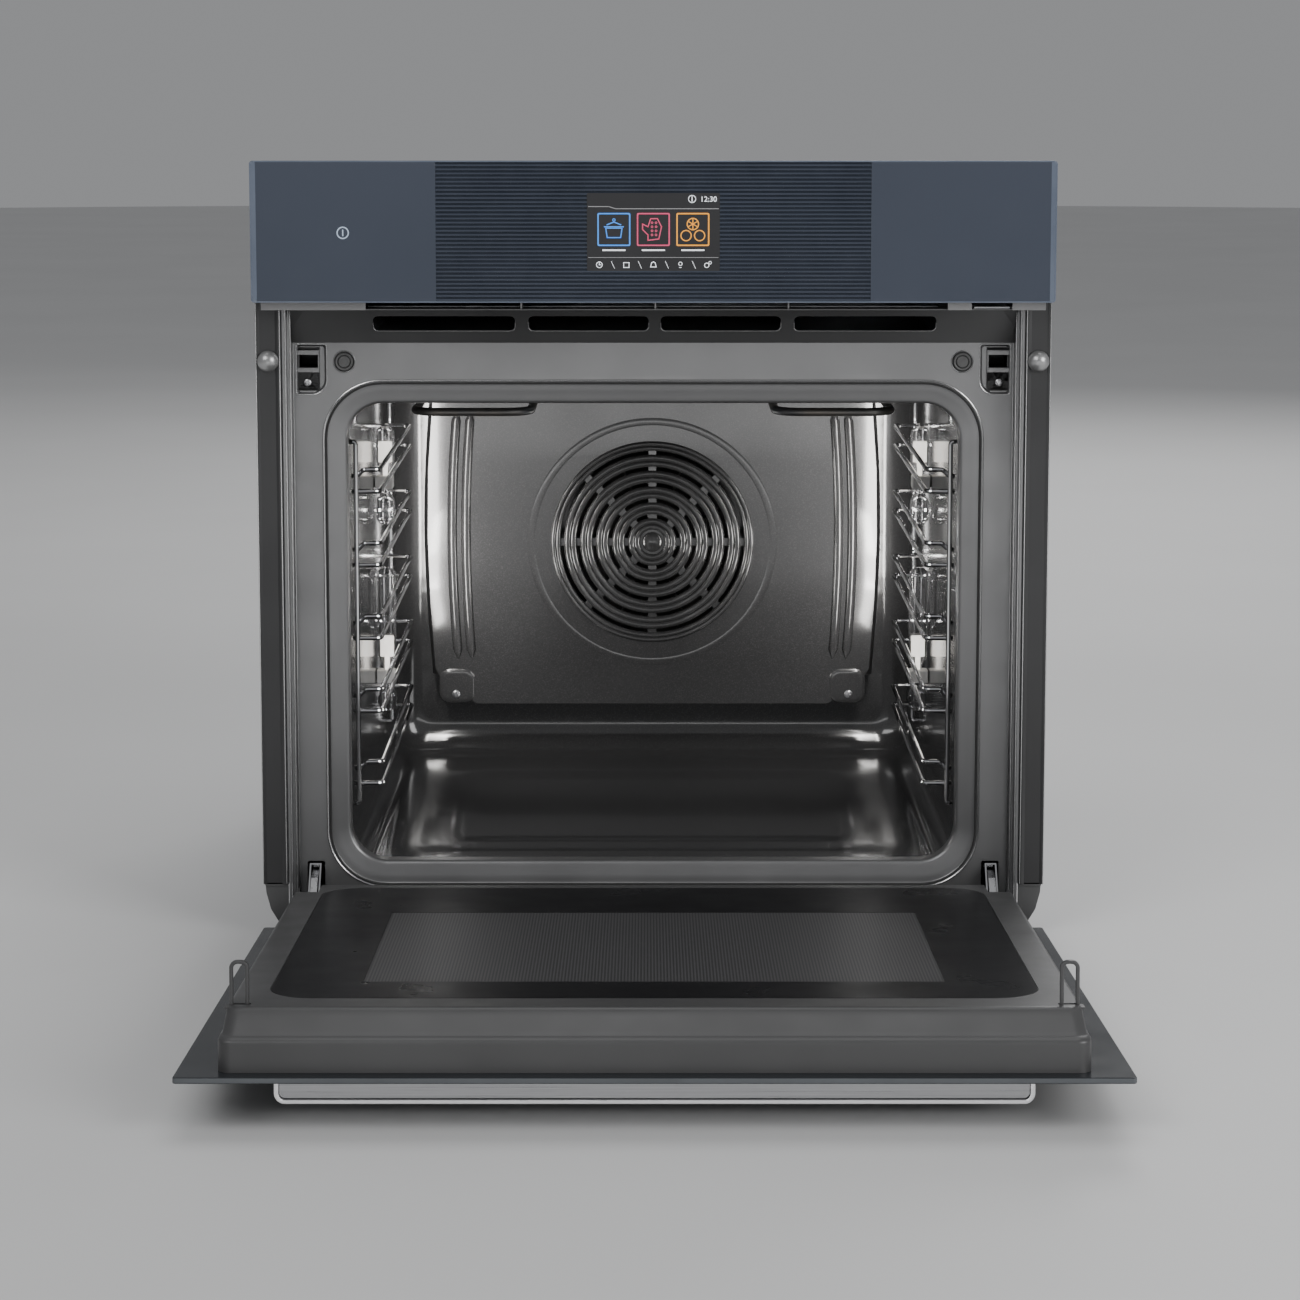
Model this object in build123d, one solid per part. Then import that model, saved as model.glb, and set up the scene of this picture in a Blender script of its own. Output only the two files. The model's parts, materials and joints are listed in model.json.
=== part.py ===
"""A 60 cm built-in oven with its drop-down door open, as an assembly of separate parts.

Millimetres. X runs across the front, Y into the cabinet, Z up. While the parts are drawn, y = 0 is the
cabinet's front plane and z = 0 the underside of the base. They are written with the origin at the
centre of the base's underside. Door parts are drawn closed and then swung open about the hinge pins.
"""

import os
from math import cos, radians, sin

from build123d import *

# Driving dimensions
FRONT_W = 597.0  # control panel and door glass
PANEL_Z = (487.0, 592.0)
PROUD = 22.0  # glass faces stand this far in front of the cabinet
GLASS_T = 4.0
SHEET_T = 1.0
BODY_W = 548.0
BODY_Y = (25.0, 505.0)
BODY_TOP = 576.0
FACE_Y = 22.0  # front frame's face, behind the cabinet plane
FACE_T = 1.2
FACE_TOP = 454.0
FACE_HALF = 273.3  # the face ends here and steps forward to the trims
STEP_Y = 9.0
FRAME_EDGE_X = 278.7

CAVITY_W = 470.0
CAVITY_Z = (48.0, 410.0)
CAVITY_Y = (FACE_Y + FACE_T, 452.0)
CAVITY_R = 28.0
OPENING_W, OPENING_Z, OPENING_R = 466.0, (52.0, 407.0), 28.0
SEAL_W, SEAL_Z, SEAL_R, SEAL_SECTION = 499.0, (33.5, 424.0), 43.5, 5.0
DECK_Z = 457.0

DOOR_Z = (8.5, 483.0)
DOOR_BOX_W = 545.0
DOOR_BOX_Z = (26.0, 472.0)
DOOR_SLOPE_Z = 446.0  # the box's inner plane ends here and slopes back to the top wall
DOOR_SLOPE_Y = 4.0
DOOR_INNER_Y = 18.5
INNER_GLASS_W, INNER_GLASS_Z, INNER_GLASS_R = 495.0, (40.0, 423.0), 30.0
PIVOT_Y, PIVOT_Z = -7.55, 17.0
OPEN_DEG = 86.0

HINGE_X = 260.0
ARM_T = 5.0
PIN_R = 3.0
RUN_CLEARANCE = 0.06
CLIP_Y, CLIP_Z = 2.5, 30.0
CLIP_REACH, CLIP_LEAN = 26.6, 50.3
ROD_Y, ROD_R = -6.0, 2.5
ROD_TRAVEL = 14.0

CATCH_X, CATCH_Z = 262.0, 439.5
LOOP_W, LOOP_H, LOOP_T = 13.3, 28.0, 2.6
WINDOW_W, WINDOW_H = 15.3, 9.7
BOLT_Y, BOLT_R = 36.0, 2.5

HANDLE_W, HANDLE_Z, HANDLE_OUT, HANDLE_T = 480.0, (424.0, 446.0), 22.0, 3.0
FIXING_X, FIXING_Z, FIXING_R = 289.0, 441.7, 2.0
BUFFER_X, BUFFER_Z = 234.0, 439.3

FAN_Y, FAN_Z = 432.0, 244.0
COVER_Y = 415.0
COVER_W, COVER_Z = 386.0, (98.0, 388.0)
COVER_SLOTS = (23.0, 37.2, 51.4, 65.6, 79.8)  # radii of the ring slots' centre lines
COVER_SCREW_X, COVER_SCREW_Z = 175.0, 107.0
SHAFT_R = 4.0
RING_END_Z = 91.2  # the ring heater's ends leave it this far above the fan's axis
PROBE_X, PROBE_Z = 150.0, 384.0

RACK_LEVELS, RACK_FIRST_Z, RACK_PITCH, RACK_PAIR = 5, 105.0, 57.5, 17.0
WIRE_R = 1.9
RUNNER_X, UPRIGHT_X = 211.6, 229.5
RACK_Y = (62.0, 378.0)

LAMP_X, LAMP_Y = 226.0, 292.0
LAMPS_Z = (313.5, 147.0)

BLOWER_Y, BLOWER_Z, BLOWER_R, BLOWER_L = 440.0, 499.0, 32.0, 200.0
BLOWER_SHAFT_R = 3.0
GLAND_X, GLAND_Y, GLAND_Z, GLAND_BORE_R = -205.0, 516.0, (452.0, 470.0), 4.5

BASE_Y = (26.0, 503.0)
CENTRE_Y = sum(BASE_Y) / 2


# Shapes
def block(x, y, z):
    """A box between three pairs of coordinates."""
    size = [b - a for a, b in (x, y, z)]
    return Pos(sum(x) / 2, sum(y) / 2, sum(z) / 2) * Box(*size)


def pair(solid):
    """The solid and its mirror image on the other side of x = 0."""
    return [solid, mirror(solid, about=Plane.YZ)]


def front_slab(width, z, radius, y):
    """A plate that faces the front, with rounded corners, centred on x = 0."""
    outline = Pos(0, sum(z) / 2) * RectangleRounded(width, z[1] - z[0], radius)
    return extrude(Plane.XZ.offset(-y[0]) * outline, amount=y[0] - y[1])


def front_ring(width, z, radius, wall, y):
    """A rounded rectangular ring, measured outside, open towards the front and the back."""
    inside = (z[0] + wall, z[1] - wall)
    return front_slab(width, z, radius, y) - front_slab(width - 2 * wall, inside, radius - wall, y)


def across(points, x):
    """A side outline of (y, z) points, stretched between two x values."""
    outline = Plane.YZ.offset(x[0]) * Polygon(*points, align=None)
    return extrude(outline, amount=x[1] - x[0], dir=(1, 0, 0))


def rod(start, end, radius):
    """A round bar between two points."""
    run = Vector(*end) - Vector(*start)
    return Plane(origin=start, z_dir=run) * Pos(0, 0, run.length / 2) * Cylinder(radius, run.length)


def tube(start, end, outer, inner):
    return rod(start, end, outer) - rod(start, end, inner)


def wire(points, bend, radius):
    """A bent tube along straight runs joined by arcs."""
    path = FilletPolyline(*points, radius=bend)
    section = Plane(origin=path @ 0, z_dir=path % 0) * Circle(radius)
    return sweep(section, path=path)


def pan_screw(x, y, z, length, head=3.2):
    """A pan-head screw whose head bears on a surface at y and whose shank runs towards +y."""
    top = rod((x, y - 2.2, z), (x, y, z), head)
    recess = block((x - 0.4, x + 0.4), (y - 2.2, y - 1.2), (z - 1.8, z + 1.8))
    recess += block((x - 1.8, x + 1.8), (y - 2.2, y - 1.2), (z - 0.4, z + 0.4))
    return top - recess + rod((x, y, z), (x, y + length, z), 1.5)


# Casing
def base_pan():
    half = BODY_W / 2 - SHEET_T - 0.1
    tray = block((-half, half), BASE_Y, (0, 14))
    tray -= block((-half + 1, half - 1), (BASE_Y[0] + 1, BASE_Y[1] - 1), (SHEET_T, 15))
    return [tray]


def side_panels():
    half = BODY_W / 2
    panel = block((half - SHEET_T, half), (BODY_Y[0], BODY_Y[1] - SHEET_T), (1, BODY_TOP - SHEET_T))
    for row in range(3):
        for column in range(7):
            y, z = 330 + column * 22, 492 + row * 26
            panel -= block((half - 2, half + 1), (y, y + 5), (z, z + 18))
    return pair(panel)


def top_cover():
    half = BODY_W / 2
    cover = block((-half, half), (BODY_Y[0], BODY_Y[1] - SHEET_T), (BODY_TOP - SHEET_T, BODY_TOP))
    for column in range(15):
        x = -126 + column * 18
        cover -= block((x - 3, x + 3), (400, 470), (BODY_TOP - 2, BODY_TOP + 1))
    return [cover]


def rear_cover():
    half = BODY_W / 2
    y = (BODY_Y[1] - SHEET_T, BODY_Y[1])
    cover = block((-half, half), y, (1, BODY_TOP))
    for row in range(4):
        for column in range(9):
            x, z = 20 + column * 22, 500 + row * 14
            cover -= block((x, x + 15), (y[0] - 1, y[1] + 1), (z, z + 5))
    for x in (-60, 60):
        for z in (190, 300):
            cover -= block((x - 20, x + 20), (y[0] - 1, y[1] + 1), (z - 3, z + 3))
    return [cover]


def top_deck():
    half = BODY_W / 2 - SHEET_T - 0.2
    deck = block((-half, half), (BODY_Y[0], BODY_Y[1] - 1.5), (DECK_Z, DECK_Z + SHEET_T))
    return [deck - rod((CATCH_X, BOLT_Y, DECK_Z - 1), (CATCH_X, BOLT_Y, DECK_Z + 2), BOLT_R + 0.3)]


# Cavity
def cavity_wrap():
    z = (CAVITY_Z[0] - SHEET_T, CAVITY_Z[1] + SHEET_T)
    return [front_ring(CAVITY_W + 2 * SHEET_T, z, CAVITY_R + SHEET_T, SHEET_T, CAVITY_Y)]


def element_ends():
    """Where the heating elements and the probe pass through the back wall: x, z, radius."""
    ring = [(x, FAN_Z + RING_END_Z) for x in (-12, 12)]
    grill = [(x, 396) for x in (-60, 60)]
    return [(x, z, 3.4) for x, z in ring + grill] + [(PROBE_X, PROBE_Z, 2.6)]


def cavity_back():
    y = (CAVITY_Y[1], CAVITY_Y[1] + SHEET_T)
    z = (CAVITY_Z[0] - SHEET_T, CAVITY_Z[1] + SHEET_T)
    back = front_slab(CAVITY_W + 2 * SHEET_T, z, CAVITY_R + SHEET_T, y)
    back -= rod((0, y[0] - 1, FAN_Z), (0, y[1] + 1, FAN_Z), 12)
    for x, z, radius in element_ends():
        back -= rod((x, y[0] - 1, z), (x, y[1] + 1, z), radius)
    return [back]


def insulation():
    wrap = block((-265, 265), (75, 452), (8, 440))
    wrap -= block((-237, 237), (74, 453), (34, 412))
    back = block((-265, 265), (454, 472), (30, 440))
    back -= rod((0, 453, FAN_Z), (0, 473, FAN_Z), 34)
    for x, z, _ in element_ends():
        back -= rod((x, 453, z), (x, 473, z), 9)
    return [wrap, back]


def front_frame():
    face = block((-FACE_HALF, FACE_HALF), (FACE_Y, FACE_Y + FACE_T), (1.2, FACE_TOP))
    wall_x = FACE_HALF + 2 * FACE_T
    for step in (
        block((FACE_HALF, FACE_HALF + FACE_T), (STEP_Y, 24.8), (1.2, PANEL_Z[0])),
        block((FACE_HALF, wall_x), (STEP_Y, STEP_Y + FACE_T), (1.2, PANEL_Z[0])),
        block((wall_x, wall_x + FACE_T), (0, STEP_Y + FACE_T), (9, PANEL_Z[0])),
        block((wall_x, FRAME_EDGE_X), (0, FACE_T), (9, PANEL_Z[0])),
        block((249, 271), (FACE_Y, 26), (414, 453)),
    ):
        for solid in pair(step):
            face += solid
    for pocket in (
        block((250, 271), (FACE_Y - 1, 25), (415, 452)),
        block((253.2, 270.8), (24, 27), (433.3, 446.2)),
        block((HINGE_X - 6.75, HINGE_X + 6.75), (21, 24), (27, 52.5)),
        rod((BUFFER_X, 21, BUFFER_Z), (BUFFER_X, 24, BUFFER_Z), 4.6),
        rod((CATCH_X, 24, 423.3), (CATCH_X, 27, 423.3), 1.6),
    ):
        for solid in pair(pocket):
            face -= solid
    flange = (OPENING_Z[0] - FACE_T, OPENING_Z[1] + FACE_T)
    face += front_slab(OPENING_W + 2 * FACE_T, flange, OPENING_R + FACE_T, (FACE_Y, 38))
    return [face - front_slab(OPENING_W, OPENING_Z, OPENING_R, (20, 39))]


def door_seal():
    return [front_ring(SEAL_W, SEAL_Z, SEAL_R, SEAL_SECTION, (18.9, FACE_Y))]


def side_trims():
    trim = block((279, FRONT_W / 2), (-1.2, 0), (40, PANEL_Z[0]))
    trim += block((279, 280), (0, 10), (40, PANEL_Z[0]))
    trim -= rod((FIXING_X, -2, FIXING_Z), (FIXING_X, 1, FIXING_Z), FIXING_R + 0.1)
    foot = [(279, 39.9), (297, 39.9), (296, 22), (291, 12), (284, 9), (279, 9)]
    tongue = extrude(Plane.XZ * Polygon(*foot, align=None), amount=1)
    return pair(trim) + pair(tongue)


def vent_strip():
    section = [(22, 454.2), (5.6, 481), (-14, 481), (-14, 482), (6.2, 482), (23.2, 454.2)]
    strip = across(section, (0.1 - FACE_HALF, FACE_HALF - 0.1))
    for start, end in ((-211, -104), (-94, -3.5), (5.5, 96), (106, 213)):
        slot = Pos((start + end) / 2, 468.4) * RectangleRounded(end - start, 12.7, 4)
        strip -= extrude(Plane.XZ.offset(-27) * slot, amount=27)
    fins = [block((x - 0.6, x + 0.6), (-12, 3), (482, 486.9)) for x in (-98.4, 1.5, 100.6)]
    for ends in ((-292, -214), (219, 237), (267, 292)):
        fins.append(block(ends, (-16, -14.1), (481, 486.9)))
    return [strip] + fins


def fixing_screws():
    x, z = FIXING_X, FIXING_Z
    head = rod((x, -3.4, z), (x, -1.2, z), 4.2) + rod((x, -3.4, z), (x, 0.3, z), FIXING_R - 0.2)
    return pair(head + rod((x, 0.3, z), (x, 16, z), FIXING_R))


def fixing_covers():
    dome = Pos(FIXING_X, -1.2, FIXING_Z) * Sphere(8.0) - Pos(FIXING_X, -1.2, FIXING_Z) * Sphere(6.8)
    return pair(dome & block((270, 300), (-12, -1.2), (420, 460)))


def frame_buffers():
    x, z = BUFFER_X, BUFFER_Z
    return pair(rod((x, 19.3, z), (x, FACE_Y, z), 6.8) + rod((x, 19.3, z), (x, 27, z), 4.5))


def catch_receivers():
    x, z = CATCH_X, CATCH_Z
    outer = block((x - 8.65, x + 8.65), (25, 58), (z - 6, z + 6.5))
    body = block((x - 9.2, x + 8.7), (24, 25), (417, 450)) + outer
    body -= block((x - WINDOW_W / 2, x + WINDOW_W / 2), (23, 57), (z - WINDOW_H / 2, z + WINDOW_H / 2))
    body -= rod((x, BOLT_Y, z + 4), (x, BOLT_Y, z + 8), BOLT_R + 0.3)
    return pair(body - rod((x, 23, 423.3), (x, 27, 423.3), 1.6))


def small_screws():
    catch = pan_screw(CATCH_X, 24, 423.3, 5)
    cover = pan_screw(COVER_SCREW_X, COVER_Y, COVER_SCREW_Z, 20, 4.0)
    return pair(catch) + pair(cover)


# Convection
def fan_cover():
    w, z = COVER_W / 2, COVER_Z
    outline = Polyline((-w + 36, z[0]), (-w, z[0] + 30))
    outline += ThreePointArc((-w, z[0] + 30), (-w - 7, sum(z) / 2), (-w, z[1]))
    outline += Polyline((-w, z[1]), (w, z[1]))
    outline += ThreePointArc((w, z[1]), (w + 7, sum(z) / 2), (w, z[0] + 30))
    outline += Polyline((w, z[0] + 30), (w - 36, z[0]), (-w + 36, z[0]))
    plate = extrude(Plane.XZ.offset(-COVER_Y) * make_face(outline.edges()), amount=-1.2)
    tab = block((150, 186), (COVER_Y, COVER_Y + 1.2), (99, 132))
    for solid in pair(tab):
        plate += solid
    slots = Sketch()
    for radius in COVER_SLOTS:
        slots += Circle(radius + 2.2) - Circle(radius - 2.2)
    for bridge in range(4):
        slots -= Rot(Z=45 * bridge) * Rectangle(200, 5)
    cut = Plane.XZ.offset(-COVER_Y - 3) * Pos(0, FAN_Z) * slots
    plate -= extrude(cut, amount=5)
    for solid in pair(block((w - 4, w - 2.8), (COVER_Y, CAVITY_Y[1]), (150, 350))):
        plate += solid
    for x in (-COVER_SCREW_X, COVER_SCREW_X):
        plate -= rod((x, COVER_Y - 1, COVER_SCREW_Z), (x, COVER_Y + 3, COVER_SCREW_Z), 1.6)
    notch_x, notch_z = (PROBE_X - 3.4, PROBE_X + 3.4), (PROBE_Z - 3.4, COVER_Z[1] + 1)
    plate -= block(notch_x, (COVER_Y - 1, COVER_Y + 3), notch_z)
    return [plate]


def ring_heater():
    heater = Plane.XZ.offset(-430) * Pos(0, FAN_Z) * Torus(92, 3.2)
    heater += Plane.XZ.offset(-438) * Pos(0, FAN_Z) * Torus(92, 3.2)
    for x, y in ((-12, 430), (12, 438)):
        heater += rod((x, y, FAN_Z + RING_END_Z), (x, 470, FAN_Z + RING_END_Z), 3.2)
    return [heater]


def convection_fan():
    wheel = tube((0, 440.8, FAN_Z), (0, 442, FAN_Z), 72, SHAFT_R)
    wheel += tube((0, 430, FAN_Z), (0, 445, FAN_Z), 11, SHAFT_R)
    blade = block((40, 72), (424, 441), (-0.6, 0.6))
    for turn in range(16):
        wheel += Pos(0, 0, FAN_Z) * Rot(Y=22.5 * turn) * blade
    return [wheel]


def fan_shaft():
    shaft = rod((0, 424, FAN_Z), (0, 500, FAN_Z), SHAFT_R)
    nut = Plane.XZ.offset(-424) * Pos(0, FAN_Z) * RegularPolygon(7.5, 6)
    hexagon = extrude(nut, amount=-6) - rod((0, 423, FAN_Z), (0, 431, FAN_Z), SHAFT_R)
    return [shaft, hexagon]


def fan_motor():
    bore = SHAFT_R + RUN_CLEARANCE
    stack = block((-34, 34), (474, 496), (FAN_Z - 30, FAN_Z + 30))
    stack += rod((0, 458, FAN_Z), (0, 474, FAN_Z), 16) + rod((0, 496, FAN_Z), (0, 499, FAN_Z), 12)
    stack -= rod((0, 457, FAN_Z), (0, 501, FAN_Z), bore)
    bracket = block((-70, 70), (472.1, 474), (FAN_Z - 22, FAN_Z + 22))
    bracket -= rod((0, 472, FAN_Z), (0, 475, FAN_Z), 16)
    coil = block((34, 52), (476, 494), (FAN_Z - 22, FAN_Z + 22))
    return [stack, bracket, coil]


def grill_element():
    points = [(-60, 470, 396), (-60, 420, 396), (-185, 420, 396), (-185, 70, 396), (-95, 70, 396)]
    points += [(-95, 380, 396), (95, 380, 396)]
    points += [(-x, y, z) for x, y, z in points[:5][::-1]]
    return [wire(points, 20, 3.3)]


def bottom_element():
    points = [(-40, 446, 40.2), (-40, 400, 40.2), (-190, 400, 40.2), (-190, 90, 40.2), (-110, 90, 40.2)]
    points += [(-110, 350, 40.2), (110, 350, 40.2)]
    points += [(-x, y, z) for x, y, z in points[:5][::-1]]
    return [wire(points, 20, 3.3)]


def temperature_probe():
    x, z = PROBE_X, PROBE_Z
    return [rod((x, 372, z), (x, 470, z), 2.6) + rod((x, 446, z), (x, CAVITY_Y[1], z), 7)]


# Racks and lamps
def side_rack(side):
    """One rack: runners in pairs, their front and rear legs, and two uprights, welded where they touch."""
    y0, y1 = RACK_Y
    wall = UPRIGHT_X + WIRE_R
    wires = []
    for level in range(RACK_LEVELS):
        low = RACK_FIRST_Z + level * RACK_PITCH
        for z, dip in ((low, 0.0), (low + RACK_PAIR, 4.5)):
            runner = ((RUNNER_X, y0 + WIRE_R, z), (RUNNER_X, y1 - WIRE_R, z))
            wires.append(rod(*runner, WIRE_R))
            for y in RACK_Y:
                wires.append(rod((RUNNER_X - WIRE_R, y, z), (wall, y, z - dip), WIRE_R))
    for y in (y0 - 2 * WIRE_R, y1 + 2 * WIRE_R):
        wires.append(rod((UPRIGHT_X, y, 80), (UPRIGHT_X, y, 380), WIRE_R))
        for z in (96, 372):
            end = y - WIRE_R if y < y0 else y + WIRE_R
            peg = rod((UPRIGHT_X + WIRE_R, (y + end) / 2, z), (CAVITY_W / 2, (y + end) / 2, z), WIRE_R)
            wires.append(peg)
    return wires if side > 0 else [mirror(w, about=Plane.YZ) for w in wires]


def lamp_holders():
    solids = []
    for z in LAMPS_Z:
        solids += pair(block((219, 235), (284, 300), (z - 5.5, z + 5.5)))
    return solids


def bottle(z, height, way, wall):
    """A glass cover shaped like a bottle, its neck at z, closed at its far end."""
    body, neck, shoulder = 8.0, 3.6, 9.0
    outer = [(neck, 0), (neck, 2), (body, shoulder), (body, height - 5), (body - 4, height), (0, height)]
    inner = [(0, height - wall), (body - 4.6, height - wall), (body - wall, height - 5.6)]
    inner += [(body - wall, shoulder + 0.6), (neck - wall, 2.6), (neck - wall, 0)]
    points = [(r, z + way * h) for r, h in outer + inner]
    glass = revolve(Plane.XZ * Polygon(*points, align=None), axis=Axis.Z)
    return Pos(LAMP_X, LAMP_Y, 0) * glass


def lamp_covers():
    spans = ((319, 42, 1), (308, 31, -1), (152.5, 88, 1), (141.5, 25, -1))
    solids = []
    for z, height, way in spans:
        solids += pair(bottle(z, height, way, 1.2))
    return solids


def lamp_bulbs():
    solids = []
    for z in LAMPS_Z:
        start, end = (LAMP_X, LAMP_Y, z + 5.5), (LAMP_X, LAMP_Y, z + 12.5)
        bulb = rod(start, end, 1.8) + rod((LAMP_X, LAMP_Y, z + 17), (LAMP_X, LAMP_Y, z + 34), 5)
        solids += pair(bulb + rod(end, (LAMP_X, LAMP_Y, z + 17), 1.8))
    return solids


# Control panel and electrics
def control_glass():
    return [front_slab(FRONT_W, PANEL_Z, 2.5, (-PROUD, -PROUD + GLASS_T))]


def panel_carrier():
    y = (-PROUD + GLASS_T, -1.2)
    z = (490.0, 589.0)
    carrier = front_slab(582, z, 3, y)
    carrier -= block((-289.9, 289.9), (y[0] + 1.2, 0), (z[0] + 1.1, z[1] - 1.1))
    return [carrier - block((-56.5, 56.5), (y[0] - 1, y[0] + 2), (504, 575))]


def panel_frame():
    half = BODY_W / 2 - 2.5
    frame = block((-half, half), (-1, 60), (487.6, 574.5))
    frame -= block((-half + 1.2, half - 1.2), (-2, 61), (488.8, 573.3))
    return [frame - block((236, 273), (26, 61), (487, 490))]


def touch_display():
    return [block((-56, 56), (-17.95, -10), (504.5, 574.5))]


def circuit_boards():
    solids = [block((-62, 62), (-8, -6.4), (500, 580))]
    solids += [rod((x, -10, z), (x, -8, z), 2.5) for x in (-48, 48) for z in (510, 569)]
    board = (-240, -60), (75, 215), (490, 491.6)
    solids.append(block(*board))
    solids.append(block((-245, -55), (70, 220), (481, 482.2)))
    solids += [rod((x, y, 482.2), (x, y, 490), 3) for x in (-232, -68) for y in (83, 207)]
    solids += [block((-150, -110), (85, 120), (491.6, 520))]
    for relay in range(6):
        x = -228 + relay * 27
        solids.append(block((x, x + 19), (180, 196), (491.6, 507)))
    for cap in range(3):
        x = -215 + cap * 20
        solids.append(rod((x, 100, 491.6), (x, 100, 515), 7))
    for plug in range(5):
        x = -228 + plug * 34
        solids.append(block((x, x + 24), (140, 149), (491.6, 502)))
    return solids


def air_duct():
    duct = block((-216, 216), (30, 398), (458, 481))
    return [duct - block((-215, 215), (29, 399), (459, 480))]


def blower_housing():
    y, z, half = BLOWER_Y, BLOWER_Z, BLOWER_L / 2 + 8
    shell = tube((-half, y, z), (half, y, z), 39.2, 38)
    shell -= block((-half + 6, half - 6), (y - 26, y + 26), (z + 20, z + 45))
    shell -= block((-half + 6, half - 6), (y - 45, y - 20), (z - 38, z - 20))
    for end in pair(rod((half - 1.2, y, z), (half, y, z), 38.2)):
        shell += end
    shell -= rod((-half - 1, y, z), (half + 1, y, z), BLOWER_SHAFT_R + RUN_CLEARANCE)
    for x in (-half + 2, half - 14):
        shell += block((x, x + 12), (y - 14, y + 14), (458, 463)) - rod((x - 1, y, z), (x + 13, y, z), 38.5)
    return [shell]


def blower_wheel():
    y, z, half = BLOWER_Y, BLOWER_Z, BLOWER_L / 2
    wheel = rod((-half - 8.5, y, z), (150, y, z), BLOWER_SHAFT_R)
    for x in (-half, 0, half - 1.5):
        wheel += rod((x, y, z), (x + 1.5, y, z), BLOWER_R)
    blade = block((-half, half), (-BLOWER_R, -BLOWER_R + 7), (-0.5, 0.5))
    for turn in range(18):
        wheel += Pos(0, y, z) * Rot(X=20 * turn) * blade
    return [wheel]


def blower_motor():
    y, z = BLOWER_Y, BLOWER_Z
    stack = block((112, 134), (y - 32, y + 32), (z - 28, z + 28)) + rod((134, y, z), (148, y, z), 20)
    stack += rod((109, y, z), (112, y, z), 20)
    stack -= rod((108, y, z), (149, y, z), BLOWER_SHAFT_R + RUN_CLEARANCE)
    coil = block((114, 132), (y + 32, y + 46), (z - 20, z + 20))
    foot = block((116, 130), (y - 20, y + 20), (458, z - 28))
    return [stack, coil, foot]


def lock_motor():
    x, y = CATCH_X, BOLT_Y
    bore = rod((x, y, 480), (x, y, 520), BOLT_R + 0.3)
    bracket = block((239, 265.5), (-12, 66), (482.05, 483.25)) - bore
    motor = block((240, 268), (27, 64), (484, 510)) - bore
    gearbox = rod((250, 56, 510), (250, 56, 522), 10)
    feet = [block((241, 246), (30 + k * 26, 35 + k * 26), (483.25, 484)) for k in range(2)]
    return [bracket, motor, gearbox] + feet


def terminal_box():
    shell = block((-245, -165), (505, 526), (470, 540)) - block((-243, -167), (504, 524), (472, 538))
    shell -= rod((GLAND_X, GLAND_Y, 469), (GLAND_X, GLAND_Y, 473), 6.5)
    block_body = block((-235, -175), (505, 519), (500, 522))
    screws = [rod((-229 + k * 12, 519, 511), (-229 + k * 12, 521, 511), 3) for k in range(5)]
    return [shell, block_body] + screws


def cable_gland():
    low, high = GLAND_Z
    x, y = GLAND_X, GLAND_Y
    body = rod((x, y, low), (x, y, high), 8.5) + rod((x, y, high), (x, y, high + 2), 6.4)
    body += extrude(Pos(x, y, low + 5) * RegularPolygon(9.5, 6), amount=8)
    return [body - rod((x, y, low - 1), (x, y, high + 3), GLAND_BORE_R)]


def door_lock_bolt():
    return [rod((CATCH_X, BOLT_Y, 447.2), (CATCH_X, BOLT_Y, 505), BOLT_R)]


# Door hinges
def hinge_receptacles():
    x = HINGE_X
    pocket = block((x - 7.95, x + 7.95), (FACE_Y + FACE_T, 72), (25.8, 53.7))
    return pair(pocket - block((x - 6.75, x + 6.75), (23, 70.8), (27, 52.5)))


def hinge_arms():
    outline = [(64, 34), (64, 46), (22, 47), (7, 43), (-3, 33), (-14, 20), (-1, 14), (8, 28), (22, 34)]
    arm = across(outline, (HINGE_X - ARM_T / 2, HINGE_X + ARM_T / 2))
    half = ARM_T / 2
    arm += rod((HINGE_X - half, PIVOT_Y, PIVOT_Z), (HINGE_X + half, PIVOT_Y, PIVOT_Z), 6.8)
    for y, z, radius in ((PIVOT_Y, PIVOT_Z, PIN_R), (CLIP_Y, CLIP_Z, 1.5)):
        arm -= rod((HINGE_X - 5, y, z), (HINGE_X + 5, y, z), radius + RUN_CLEARANCE)
    roller = rod((HINGE_X - 6.6, 58, 40), (HINGE_X + 6.6, 58, 40), 3)
    return pair(arm + roller)


def hinge_clip():
    """A yoke that straddles the arm: two legs, a bridge at their far end and a pin at the pivot."""
    x, reach = HINGE_X, CLIP_REACH
    leg = block((3.3, 4.5), (-2.2, reach), (-2.2, 2.2))
    clip = leg + mirror(leg, about=Plane.YZ)
    clip += block((-4.5, 4.5), (reach - 1.2, reach), (-2.2, 2.2))
    clip += rod((-4.5, 0, 0), (4.5, 0, 0), 1.5)
    return Pos(x, CLIP_Y, CLIP_Z) * Rot(X=CLIP_LEAN) * clip


def hinge_channels():
    x = HINGE_X
    channel = block((x - 7, x + 7), (-17, 4), (9.5, 200)) - block((x - 5.5, x + 5.5), (-15.5, 5), (9, 201))
    stop = block((x - 5.5, x + 5.5), (-15.5, 4), (84, 86))
    channel += stop - rod((x, ROD_Y, 83), (x, ROD_Y, 87), ROD_R + 0.3)
    return pair(channel - rod((x - 8, PIVOT_Y, PIVOT_Z), (x + 8, PIVOT_Y, PIVOT_Z), PIN_R))


def hinge_pins():
    """Shouldered pins: the shoulders hold the arm in the middle of the channel."""
    x = HINGE_X
    pin = rod((x - 8, PIVOT_Y, PIVOT_Z), (x + 8, PIVOT_Y, PIVOT_Z), PIN_R)
    for near, far in ((-5.5, -2.8), (2.8, 5.5)):
        pin += rod((x + near, PIVOT_Y, PIVOT_Z), (x + far, PIVOT_Y, PIVOT_Z), 5)
    return pair(pin)


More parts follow.
